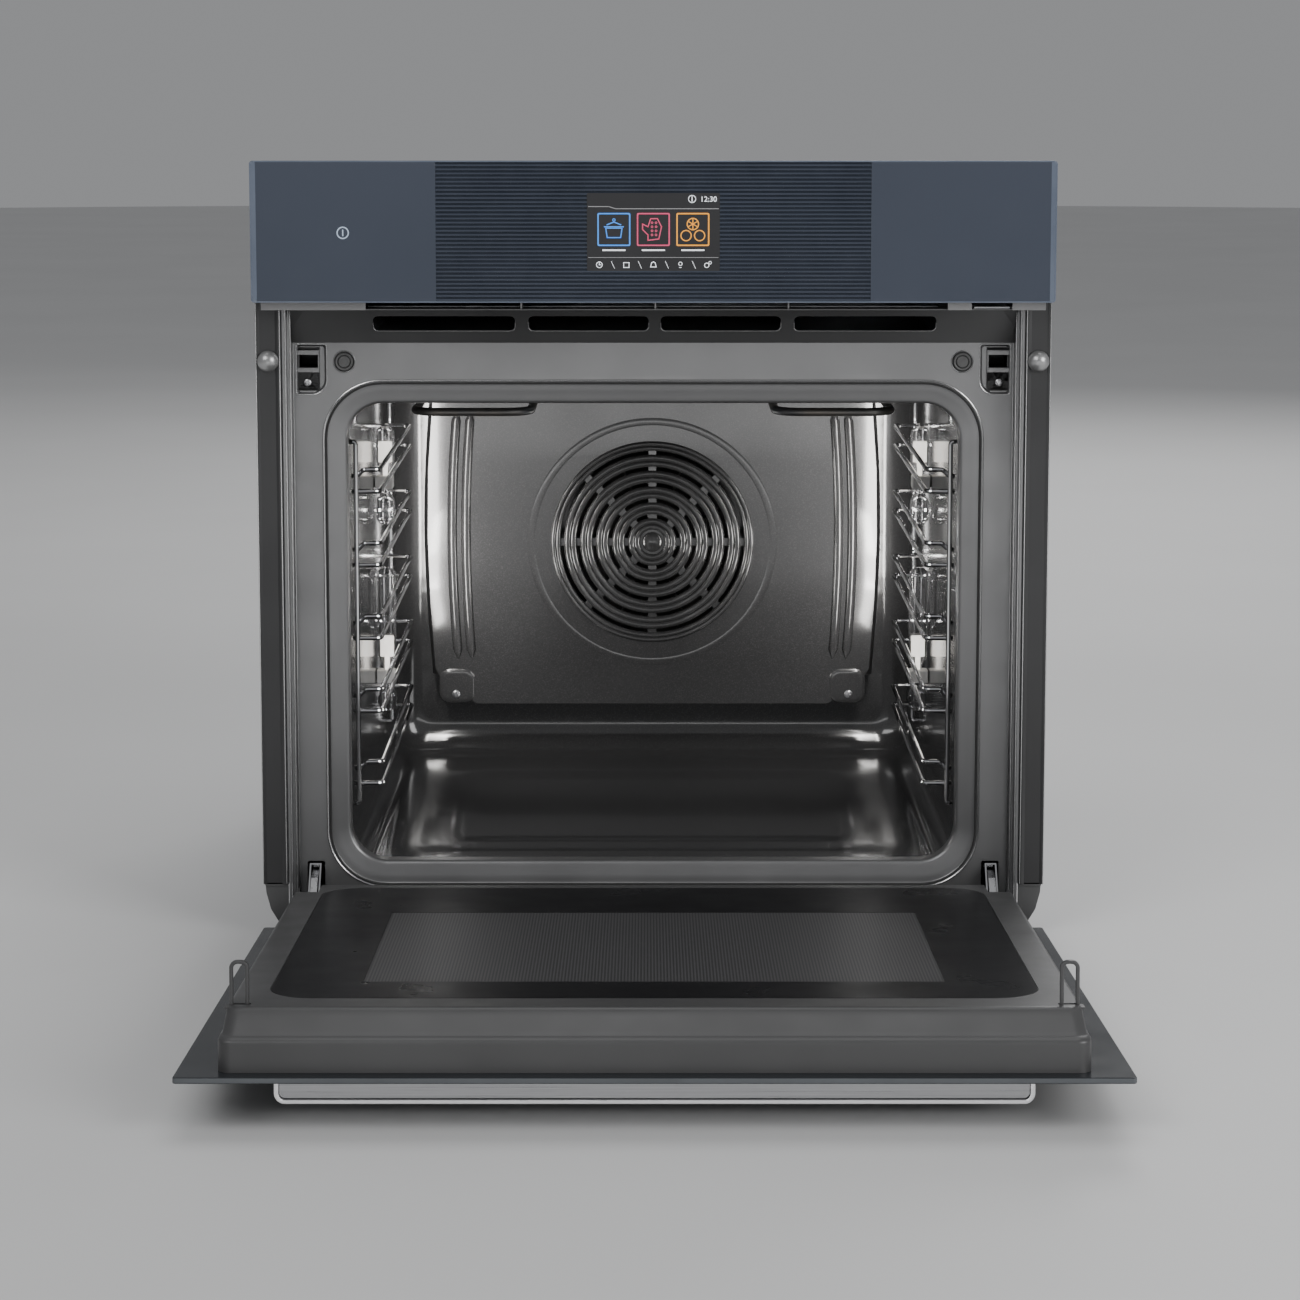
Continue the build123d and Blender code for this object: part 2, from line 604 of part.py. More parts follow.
def hinge_rods():
    x = HINGE_X
    return pair(rod((x, ROD_Y, 66), (x, ROD_Y, 174), ROD_R) + rod((x, ROD_Y, 171), (x, ROD_Y, 174), 4.9))


def hinge_springs():
    turns, low, high = 14, 87.0, 170.0
    path = Helix(pitch=(high - low) / turns, height=high - low, radius=4.0)
    section = Plane(origin=path @ 0, z_dir=path % 0) * RegularPolygon(0.8, 8)
    coil = Pos(HINGE_X, ROD_Y, low) * sweep(section, path=path, is_frenet=True)
    return pair(coil)


# Door
def door_outer_glass():
    glass = front_slab(FRONT_W, DOOR_Z, 2.5, (-PROUD, -PROUD + GLASS_T))
    for x in (-229, 229):
        glass -= rod((x, -PROUD - 1, 435), (x, 0, 435), 2.5)
    return [glass]


def door_inner_frame():
    y0, y1 = -PROUD + GLASS_T, DOOR_INNER_Y
    z0, z1 = DOOR_BOX_Z
    half = DOOR_BOX_W / 2
    outside = [(y0, z0), (y1, z0), (y1, DOOR_SLOPE_Z), (DOOR_SLOPE_Y, z1), (y0, z1)]
    inside = [(y0 - 1, z0 + 1), (y1 - 1, z0 + 1), (y1 - 1, DOOR_SLOPE_Z - 0.4)]
    inside += [(DOOR_SLOPE_Y - 0.6, z1 - 1), (y0 - 1, z1 - 1)]
    frame = across(outside, (-half, half)) - across(inside, (-half + 1, half - 1))
    gap = 0.4
    z = (INNER_GLASS_Z[0] - gap, INNER_GLASS_Z[1] + gap)
    frame -= front_slab(INNER_GLASS_W + 2 * gap, z, INNER_GLASS_R + gap, (10, 20))
    for notch in (
        block((HINGE_X - 8.5, HINGE_X + 8.5), (y0 - 1, y1 + 1), (z0 - 1, z0 + 2)),
        block((HINGE_X - 8.5, HINGE_X + 8.5), (y1 - 2, y1 + 1), (z0 - 1, 58)),
        block((CATCH_X - 7, CATCH_X + 7), (y1 - 2, y1 + 1), (CATCH_Z - 1.8, CATCH_Z + 1.8)),
    ):
        for solid in pair(notch):
            frame -= solid
    return [frame]


def door_inner_glass():
    y = (DOOR_INNER_Y - GLASS_T, DOOR_INNER_Y)
    return [front_slab(INNER_GLASS_W, INNER_GLASS_Z, INNER_GLASS_R, y)]


def door_middle_panes():
    return [front_slab(486, (60, 430), 6, y) for y in ((-7, -4), (3, 6))]


def pane_spacers():
    solids = []
    for y in ((-18, -7), (-4, 3), (6, 14.5)):
        for z in ((66, 106), (376, 416)):
            solids += pair(block((228, 241), y, z))
    return solids


def catch_loops():
    """A flat strip bent into a hairpin, with a foot plate inside the door."""
    x, z, base = CATCH_X, CATCH_Z, DOOR_INNER_Y - 1
    outline = Plane.XY.offset(z - 1.5) * Pos(x, base + 14.5) * RectangleRounded(LOOP_W, 29, 5)
    outer = extrude(outline, amount=3)
    hole = Plane.XY.offset(z - 2) * Pos(x, base + 13.0) * RectangleRounded(LOOP_W - 2 * LOOP_T, 26, 3)
    loop = outer - extrude(hole, amount=4)
    return pair(loop + block((x - 9.5, x + 9.5), (base - 1.6, base), (z - 5, z + 5)))


def handle_bar():
    """A strap bent into a wide U, its legs turned in to two feet on the door glass."""
    half = HANDLE_W / 2
    y0, y1 = -PROUD - HANDLE_OUT, -PROUD
    plane = Plane.XY.offset(HANDLE_Z[0])
    outer = Pos(0, y0 + 20) * RectangleRounded(HANDLE_W, 40, 7)
    inner = Pos(0, y0 + HANDLE_T + 20) * RectangleRounded(HANDLE_W - 2 * HANDLE_T, 40, 4)
    bar = extrude(plane * (outer - inner), amount=HANDLE_Z[1] - HANDLE_Z[0])
    bar &= block((-half - 1, half + 1), (y0 - 1, y1), HANDLE_Z)
    for foot in pair(block((half - 18, half - HANDLE_T), (y1 - 8, y1), (428, 441.9))):
        bar += foot
    for x in (-229, 229):
        bar -= rod((x, y1 - 7, 435), (x, y1 + 1, 435), 2.0)
    return [bar]


def handle_web():
    y0 = -PROUD - HANDLE_OUT + HANDLE_T + 0.1
    width = HANDLE_W - 2 * HANDLE_T - 0.2
    web = extrude(Plane.XY.offset(442) * Pos(0, y0 + 20) * RectangleRounded(width, 40, 4), amount=2)
    return [web & block((-width, width), (y0 - 1, -PROUD - 0.1), (440, 446))]


def handle_screws():
    y = -PROUD + GLASS_T
    return pair(rod((229, -PROUD - 6.9, 435), (229, y, 435), 2) + rod((229, y, 435), (229, y + 3, 435), 4.5))


# Writing
ORIGIN = Pos(0, -CENTRE_Y, 0)
OPENED = Pos(0, PIVOT_Y, PIVOT_Z) * Rot(X=OPEN_DEG) * Pos(0, -PIVOT_Y, -PIVOT_Z)

FIXED_PARTS = (
    base_pan, side_panels, top_cover, rear_cover, top_deck, cavity_wrap, cavity_back, insulation,
    front_frame, door_seal, side_trims, vent_strip, fixing_screws, fixing_covers, frame_buffers,
    catch_receivers, small_screws, fan_cover, ring_heater, convection_fan, fan_shaft, fan_motor,
    grill_element, bottom_element, temperature_probe, lamp_holders, lamp_covers, lamp_bulbs,
    control_glass, panel_carrier, panel_frame, touch_display, circuit_boards, air_duct,
    blower_housing, blower_wheel, blower_motor, lock_motor, terminal_box,
    cable_gland, door_lock_bolt, hinge_receptacles, hinge_arms,
)
DOOR_PARTS = (
    door_outer_glass, door_inner_frame, door_inner_glass, door_middle_panes, pane_spacers,
    catch_loops, handle_bar, handle_web, handle_screws, hinge_channels, hinge_pins, hinge_rods,
    hinge_springs,
)


def write(name, solids, place):
    """Writes a part's solids to one file, each as a solid of its own."""
    placed = [place * solid for shape in solids for solid in shape.solids()]
    export_step(Compound(placed), f"parts/{name}.step")


def main():
    os.makedirs("parts", exist_ok=True)
    for make in FIXED_PARTS:
        write(make.__name__, make(), ORIGIN)
    for make in DOOR_PARTS:
        write(make.__name__, make(), ORIGIN * OPENED)
    for name, side in (("rack_left", -1), ("rack_right", 1)):
        write(name, side_rack(side), ORIGIN)
    right_clip = hinge_clip()
    write("hinge_clip_right", [right_clip], ORIGIN)
    write("hinge_clip_left", [mirror(right_clip, about=Plane.YZ)], ORIGIN)
    pin = Vector(0, PIVOT_Y, PIVOT_Z)
    for label, y, z in (("pivot", pin.Y, pin.Z), ("clip", CLIP_Y, CLIP_Z), ("blower", BLOWER_Y, BLOWER_Z)):
        print(label, round(y - CENTRE_Y, 3), round(z, 3))
    lean = radians(OPEN_DEG)
    print("door's upward direction when open", round(-sin(lean), 5), round(cos(lean), 5))


main()
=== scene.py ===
import json
from math import cos, pi, radians, sin, sqrt

import bmesh
import bpy
from mathutils import Matrix, Vector

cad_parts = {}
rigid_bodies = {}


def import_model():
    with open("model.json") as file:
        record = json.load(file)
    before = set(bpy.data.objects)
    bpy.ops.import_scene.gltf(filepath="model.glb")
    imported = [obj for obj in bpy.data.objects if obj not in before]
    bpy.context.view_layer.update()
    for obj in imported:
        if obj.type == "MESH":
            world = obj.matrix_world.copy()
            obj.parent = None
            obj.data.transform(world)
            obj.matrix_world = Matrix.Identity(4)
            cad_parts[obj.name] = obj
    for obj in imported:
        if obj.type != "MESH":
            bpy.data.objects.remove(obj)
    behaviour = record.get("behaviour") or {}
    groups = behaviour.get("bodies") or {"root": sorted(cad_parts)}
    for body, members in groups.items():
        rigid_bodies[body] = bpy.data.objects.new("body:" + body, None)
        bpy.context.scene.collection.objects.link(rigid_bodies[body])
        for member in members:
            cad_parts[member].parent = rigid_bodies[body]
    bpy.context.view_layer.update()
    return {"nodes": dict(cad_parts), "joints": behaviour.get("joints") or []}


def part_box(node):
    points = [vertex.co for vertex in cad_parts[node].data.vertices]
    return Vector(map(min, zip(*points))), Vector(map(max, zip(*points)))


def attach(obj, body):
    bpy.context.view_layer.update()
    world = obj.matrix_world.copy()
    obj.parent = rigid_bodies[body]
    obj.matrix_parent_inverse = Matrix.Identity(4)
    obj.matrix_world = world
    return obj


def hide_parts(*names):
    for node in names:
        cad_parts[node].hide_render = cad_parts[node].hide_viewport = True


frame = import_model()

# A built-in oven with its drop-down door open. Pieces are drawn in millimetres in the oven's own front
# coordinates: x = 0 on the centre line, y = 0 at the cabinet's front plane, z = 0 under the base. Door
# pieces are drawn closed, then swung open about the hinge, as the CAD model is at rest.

# Places, from the frame
MM = 0.001
PROUD = 22.0
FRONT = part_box("control_glass")[0][1] + PROUD * MM
hinge = next(j for j in frame["joints"] if j["name"] == "door_hinge")
FIXED = Matrix.Translation((0, FRONT, 0)) @ Matrix.Scale(MM, 4)
PIVOT = Vector(hinge["pos_m"])
SWING = Matrix.Rotation(radians(hinge["range_deg"][1]), 4, "X")
DOOR = Matrix.Translation(PIVOT) @ SWING @ Matrix.Translation(-PIVOT) @ FIXED
FACING = Matrix(((1, 0, 0, 0), (0, 0, -1, 0), (0, 1, 0, 0), (0, 0, 0, 1)))  # drawn x, y -> X, Z


def extent(node, axis):
    """A fixed CAD node's lowest and highest coordinate, in millimetres in the front coordinates."""
    shift = FRONT if axis == 1 else 0.0
    return tuple((corner[axis] - shift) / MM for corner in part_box(node))


PANEL_X, PANEL_Z = extent("control_glass", 0)[1], extent("control_glass", 2)
TRIM_X = extent("side_trims", 0)[1]
CAVITY_Z = (extent("cavity_wrap", 2)[0] + 1, extent("cavity_wrap", 2)[1] - 1)
CAVITY_X = extent("cavity_wrap", 0)[1] - 1
CAVITY_BACK = extent("cavity_back", 1)[0]
COVER_Y = extent("fan_cover", 1)[0]
FAN_Z = sum(extent("convection_fan", 2)) / 2
FACE_Y = 22.0
FIXING_X, FIXING_Z = 289.0, 441.7
CATCH_X, CATCH_Z = 262.0, 439.5
CATCH_SCREW_Z = 423.3
HINGE_X = 260.0
BUFFER_X, BUFFER_Z = 234.0, 439.3
LAMPS_X, LAMPS_Y, LAMPS_Z = 226.0, 292.0, (313.5, 147.0)
VENT_LOW, VENT_HIGH = Vector((0, 22.2, 454.2)), Vector((0, 5.8, 481))
VENT_SLOTS = ((-211, -104), (-94, -3.5), (5.5, 96), (106, 213))


# Shapes
def loop_mesh(loops, closed=True, cap_start=False, cap_end=False):
    """Skins a list of point loops that all have the same count."""
    bm = bmesh.new()
    rows = [[bm.verts.new(p) for p in loop] for loop in loops]
    count = len(rows[0])
    for a, b in zip(rows, rows[1:]):
        for i in range(count if closed else count - 1):
            j = (i + 1) % count
            bm.faces.new((a[i], a[j], b[j], b[i]))
    if cap_start:
        bm.faces.new(rows[0][::-1])
    if cap_end:
        bm.faces.new(rows[-1])
    bmesh.ops.recalc_face_normals(bm, faces=bm.faces)
    return to_mesh(bm)


def to_mesh(bm):
    mesh = bpy.data.meshes.new("shape")
    bm.to_mesh(mesh)
    bm.free()
    return mesh


def joined(meshes):
    """One mesh from several, each keeping its faces' material numbers."""
    bm = bmesh.new()
    for mesh in meshes:
        bm.from_mesh(mesh)
    return to_mesh(bm)


def moved(mesh, matrix):
    mesh.transform(matrix)
    if matrix.determinant() < 0:
        mesh.flip_normals()
    return mesh


def mirrored(mesh):
    """The mesh and its mirror image on the other side of x = 0."""
    return joined([mesh, moved(mesh.copy(), Matrix.Scale(-1, 4, (1, 0, 0)))])


def corner_arc(before, corner, after, radius, steps):
    """Points that round a corner off with an arc."""
    a, b = (before - corner).normalized(), (after - corner).normalized()
    half = a.angle(b) / 2
    if radius < 0.01 or half > 1.56:
        return [corner]
    reach = min(radius / abs(sin(half) / cos(half)), (before - corner).length * 0.49,
                (after - corner).length * 0.49)
    radius = reach * sin(half) / cos(half)
    centre = corner + (a + b).normalized() * (radius / sin(half))
    start, end = corner + a * reach - centre, corner + b * reach - centre
    turn = start.normalized()
    return [centre + turn.slerp(end.normalized(), k / steps) * radius for k in range(steps + 1)]


def rounded(points, radii, steps=5, closed=True):
    """The points with their corners rounded. radii is one number or one for each corner."""
    points = [Vector(p).to_3d() for p in points]
    if not isinstance(radii, (list, tuple)):
        radii = [radii] * len(points)
    out = []
    for i, corner in enumerate(points):
        if not closed and i in (0, len(points) - 1):
            out.append(corner)
            continue
        out += corner_arc(points[i - 1], corner, points[(i + 1) % len(points)], radii[i], steps)
    return out


def rect(x0, x1, y0, y1, radius=0.0, steps=6):
    return rounded([(x0, y0), (x1, y0), (x1, y1), (x0, y1)], radius, steps)


def circle(x, y, radius, steps=32):
    return [Vector((x + radius * cos(2 * pi * k / steps), y + radius * sin(2 * pi * k / steps), 0))
            for k in range(steps)]


def plate(outer, holes=(), thickness=1.0, bevel=0.3, y=0.0, turned=True):
    """A flat sheet with holes and rounded edges. It faces the front with its front face at y, or, when
    not turned, lies flat with its underside at height y."""
    curve = bpy.data.curves.new("outline", "CURVE")
    curve.dimensions, curve.fill_mode = "2D", "BOTH"
    curve.extrude, curve.bevel_depth = thickness / 2 - bevel, bevel
    curve.bevel_resolution, curve.offset = 1, -bevel
    area = sum(a.x * b.y - b.x * a.y for a, b in zip(outer, outer[1:] + outer[:1]))
    loops = [outer if area > 0 else outer[::-1]]
    for hole in holes:
        area = sum(a.x * b.y - b.x * a.y for a, b in zip(hole, hole[1:] + hole[:1]))
        loops.append(hole if area < 0 else hole[::-1])
    for points in loops:
        spline = curve.splines.new("POLY")
        spline.points.add(len(points) - 1)
        for k, p in enumerate(points):
            spline.points[k].co = (p.x, p.y, 0, 1)
        spline.use_cyclic_u = True
    mesh = mesh_of(curve)
    if turned:
        return moved(mesh, Matrix.Translation((0, y + thickness / 2, 0)) @ FACING)
    return moved(mesh, Matrix.Translation((0, 0, y + thickness / 2)))


def mesh_of(curve):
    """A curve's own surface as a mesh."""
    obj = bpy.data.objects.new("shape", curve)
    bpy.context.scene.collection.objects.link(obj)
    graph = bpy.context.evaluated_depsgraph_get()
    mesh = bpy.data.meshes.new_from_object(obj.evaluated_get(graph))
    bpy.data.objects.remove(obj)
    bpy.data.curves.remove(curve)
    bm = bmesh.new()
    bm.from_mesh(mesh)
    bmesh.ops.remove_doubles(bm, verts=bm.verts, dist=1e-4)
    bm.to_mesh(mesh)
    bm.free()
    return mesh


def wires(paths, radius, bend):
    """Round wires along open paths whose corners are bent to a radius."""
    curve = bpy.data.curves.new("wires", "CURVE")
    curve.dimensions, curve.bevel_depth, curve.bevel_resolution = "3D", radius, 3
    curve.use_fill_caps = True
    for path in paths:
        points = rounded(path, bend, 6, closed=False)
        spline = curve.splines.new("POLY")
        spline.points.add(len(points) - 1)
        for k, p in enumerate(points):
            spline.points[k].co = (*p, 1)
    return mesh_of(curve)


def revolved(profile, centre, axis="Y", steps=48):
    """A profile of (radius, distance along the axis) turned about a Y or Z axis through centre."""
    loops = []
    for radius, along in profile:
        ring = []
        for k in range(steps):
            u, v = max(radius, 1e-3) * cos(2 * pi * k / steps), max(radius, 1e-3) * sin(2 * pi * k / steps)
            offset = (u, along, v) if axis == "Y" else (u, v, along)
            ring.append(Vector(centre) + Vector(offset))
        loops.append(ring)
    return loop_mesh(loops)


def front_loop(half, z0, z1, radius, y, side=1, steps=8):
    """A rounded rectangle that faces the front, its flat sides cut into `side` lengths."""
    points = []
    corners = ((half - radius, z1 - radius, 0), (radius - half, z1 - radius, 90),
               (radius - half, z0 + radius, 180), (half - radius, z0 + radius, 270))
    for n, (cx, cz, start) in enumerate(corners):
        for k in range(steps + 1):
            a = radians(start + 90 * k / steps)
            points.append(Vector((cx + radius * cos(a), y, cz + radius * sin(a))))
        nx, nz, turn = corners[(n + 1) % 4]
        a = radians(turn)
        there = Vector((nx + radius * cos(a), y, nz + radius * sin(a)))
        here = points[-1]
        points += [here.lerp(there, k / side) for k in range(1, side)]
    return points


def swell(outline, y0, y1, inset, steps=4):
    """A pressed pad: the outline at y0, drawn in and forward in a quarter round to y1."""
    centre = sum((Vector(p) for p in outline), Vector((0, 0))) / len(outline)
    loops = []
    for k in range(steps + 1):
        a = pi / 2 * k / steps
        shrink, y = inset * (1 - cos(a)), y0 + (y1 - y0) * sin(a)
        loops.append([shrunk(p, centre, shrink, y) for p in outline])
    return loop_mesh(loops, cap_end=True)


def shrunk(p, centre, by, y):
    away = Vector((p[0] - centre[0], 0, p[1] - centre[1]))
    length = away.length or 1.0
    return Vector((centre[0], y, centre[1])) + away * max(0.0, 1 - by / length)


def block(x, y, z, bevel=0.3, steps=2):
    """A box with softened edges."""
    bm = bmesh.new()
    corners = [bm.verts.new((a, b, c)) for a in x for b in y for c in z]
    for face in ((0, 1, 3, 2), (4, 6, 7, 5), (0, 4, 5, 1), (2, 3, 7, 6), (0, 2, 6, 4), (1, 5, 7, 3)):
        bm.faces.new([corners[i] for i in face])
    bmesh.ops.recalc_face_normals(bm, faces=bm.faces)
    bmesh.ops.bevel(bm, geom=bm.edges[:], offset=bevel, segments=steps, profile=0.6, affect="EDGES")
    return to_mesh(bm)


def rail(points, z0, z1, thickness, bend=0.6):
    """A folded sheet: an open x, y outline with a thickness, stretched from z0 to z1."""
    line = rounded(points, bend, 4, closed=False)
    sides = []
    for way in (-0.5, 0.5):
        row = []
        for i, p in enumerate(line):
            ahead, behind = line[min(i + 1, len(line) - 1)], line[max(i - 1, 0)]
            run = (ahead - behind).normalized()
            row.append(p + Vector((-run.y, run.x, 0)) * thickness * way)
        sides.append(row)
    ring = sides[0] + sides[1][::-1]
    loops = [[Vector((p.x, p.y, z)) for p in ring] for z in (z0, z1)]
    return loop_mesh(loops, cap_start=True, cap_end=True)


def cut(mesh, tools):
    """The mesh with the tools' volumes cut out of it."""
    scene = bpy.context.scene.collection.objects
    body, tool = bpy.data.objects.new("body", mesh), bpy.data.objects.new("tool", joined(tools))
    scene.link(body)
    scene.link(tool)
    boolean = body.modifiers.new("cut", "BOOLEAN")
    boolean.operation, boolean.solver, boolean.object = "DIFFERENCE", "EXACT", tool
    boolean.use_self = True
    graph = bpy.context.evaluated_depsgraph_get()
    result = bpy.data.meshes.new_from_object(body.evaluated_get(graph))
    bpy.data.objects.remove(body)
    bpy.data.objects.remove(tool)
    return result


def piece(name, mesh, body, paints, replaces=(), sharp=35):
    """Puts a finished mesh in the scene, riding on a body, in one of PAINTS or in a list of them."""
    moved(mesh, DOOR if body == "door" else FIXED)
    while mesh.materials:
        mesh.materials.pop()
    for paint in [paints] if isinstance(paints, str) else paints:
        mesh.materials.append(PAINTS[paint])
    mesh.shade_smooth()
    mesh.set_sharp_from_angle(angle=radians(sharp))
    mesh.name = name
    obj = bpy.data.objects.new(name, mesh)
    bpy.context.scene.collection.objects.link(obj)
    even = obj.modifiers.new("even_shading", "WEIGHTED_NORMAL")
    even.keep_sharp = True
    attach(obj, body)
    if replaces:
        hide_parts(*replaces)
    return obj


# Materials
class Paint:
    """A Principled material that is built up from noise, bands and bumps in object coordinates."""

    def __init__(self, name, colour, roughness=0.4, metallic=0.0, **sockets):
        self.material = bpy.data.materials.new(name)
        self.material.use_nodes = True
        self.nodes, self.links = self.material.node_tree.nodes, self.material.node_tree.links
        self.shader = self.nodes["Principled BSDF"]
        self.colour = (*colour, 1)
        self.set("Base Color", self.colour)
        self.set("Roughness", roughness)
        self.set("Metallic", metallic)
        for socket, value in sockets.items():
            self.set(socket.replace("_", " "), value)
        self.place = self.nodes.new("ShaderNodeTexCoord").outputs["Object"]
        self.last_bump = None

    def set(self, socket, value):
        self.shader.inputs[socket].default_value = value

    def stretched(self, scale):
        """Object coordinates scaled differently along X, Y and Z."""
        node = self.nodes.new("ShaderNodeMapping")
        node.inputs["Scale"].default_value = scale
        self.links.new(self.place, node.inputs["Vector"])
        return node.outputs["Vector"]

    def noise(self, scale, detail=3.0, stretch=(1, 1, 1)):
        node = self.nodes.new("ShaderNodeTexNoise")
        node.inputs["Scale"].default_value = scale
        node.inputs["Detail"].default_value = detail
        self.links.new(self.stretched(stretch), node.inputs["Vector"])
        return node.outputs["Fac"]

    def cells(self, scale):
        node = self.nodes.new("ShaderNodeTexVoronoi")
        node.inputs["Scale"].default_value = scale
        self.links.new(self.place, node.inputs["Vector"])
        split = self.nodes.new("ShaderNodeSeparateColor")
        self.links.new(node.outputs["Color"], split.inputs["Color"])
        return split.outputs["Red"]

    def lines(self, scale):
        """Fine lines across X."""
        node = self.nodes.new("ShaderNodeTexWave")
        node.bands_direction, node.wave_profile = "X", "SIN"
        node.inputs["Scale"].default_value = scale
        self.links.new(self.place, node.inputs["Vector"])
        return node.outputs["Fac"]

    def range(self, value, low, high, start=0.3, end=0.7):
        node = self.nodes.new("ShaderNodeMapRange")
        node.inputs["From Min"].default_value, node.inputs["From Max"].default_value = start, end
        node.inputs["To Min"].default_value, node.inputs["To Max"].default_value = low, high
        self.links.new(value, node.inputs["Value"])
        return node.outputs["Result"]

    def tint(self, value, other, start=0.3, end=0.7):
        """Colour runs from the base colour to another as the value rises."""
        ramp = self.nodes.new("ShaderNodeValToRGB")
        ramp.color_ramp.elements[0].position, ramp.color_ramp.elements[1].position = start, end
        ramp.color_ramp.elements[0].color, ramp.color_ramp.elements[1].color = self.colour, (*other, 1)
        self.links.new(value, ramp.inputs["Fac"])
        self.links.new(ramp.outputs["Color"], self.shader.inputs["Base Color"])
        return self

    def gloss(self, value, low, high, start=0.3, end=0.7):
        self.links.new(self.range(value, low, high, start, end), self.shader.inputs["Roughness"])
        return self

    def bump(self, value, strength, depth_mm=0.1):
        node = self.nodes.new("ShaderNodeBump")
        node.inputs["Strength"].default_value = strength
        node.inputs["Distance"].default_value = depth_mm * MM
        self.links.new(value, node.inputs["Height"])
        if self.last_bump:
            self.links.new(self.last_bump, node.inputs["Normal"])
        self.last_bump = node.outputs["Normal"]
        self.links.new(self.last_bump, self.shader.inputs["Normal"])
        return self


def finish(name, colour, roughness, metallic=0.0, tint=None, gloss=None, bump=None, **sockets):
    """A finish whose colour, gloss and relief each follow a noise of their own."""
    p = Paint(name, colour, roughness, metallic, **sockets)
    for change, rows in ((p.tint, tint), (p.gloss, gloss), (p.bump, bump)):
        if rows:
            change(p.noise(*rows[0]), *rows[1:])
    return p.material


def brushed_steel():
    p = Paint("brushed_steel", (0.36, 0.36, 0.37), 0.32, 1.0)
    grain = p.noise(900, 3, (0.012, 1, 1))
    p.tint(grain, (0.44, 0.44, 0.45)).gloss(grain, 0.26, 0.40)
    return p.bump(grain, 0.15, 0.05).material


def zinc_steel():
    """Galvanised sheet with its spangle."""
    p = Paint("zinc_steel", (0.40, 0.41, 0.42), 0.38, 0.9)
    spangle = p.cells(95)
    p.tint(spangle, (0.45, 0.46, 0.47), 0.1, 0.9)
    p.gloss(spangle, 0.34, 0.44, 0.0, 1.0)
    return p.bump(p.noise(500, 3), 0.08, 0.05).material


def window_print():
    """The window's fine vertical lines, printed on the glass."""
    p = Paint("window_print", (0.030, 0.030, 0.031), 0.34, Specular_IOR_Level=0.08)
    return p.tint(p.lines(145), (0.078, 0.078, 0.080), 0.25, 0.75).material


def circuit_board():
    p = Paint("circuit_board", (0.012, 0.075, 0.030), 0.35)
    return p.tint(p.cells(260), (0.020, 0.110, 0.045), 0.2, 0.8).material


def glow(name, colour, strength):
    return finish(name, colour, 0.3, gloss=((300,), 0.25, 0.35), Emission_Color=(*colour, 1),
                  Emission_Strength=strength)


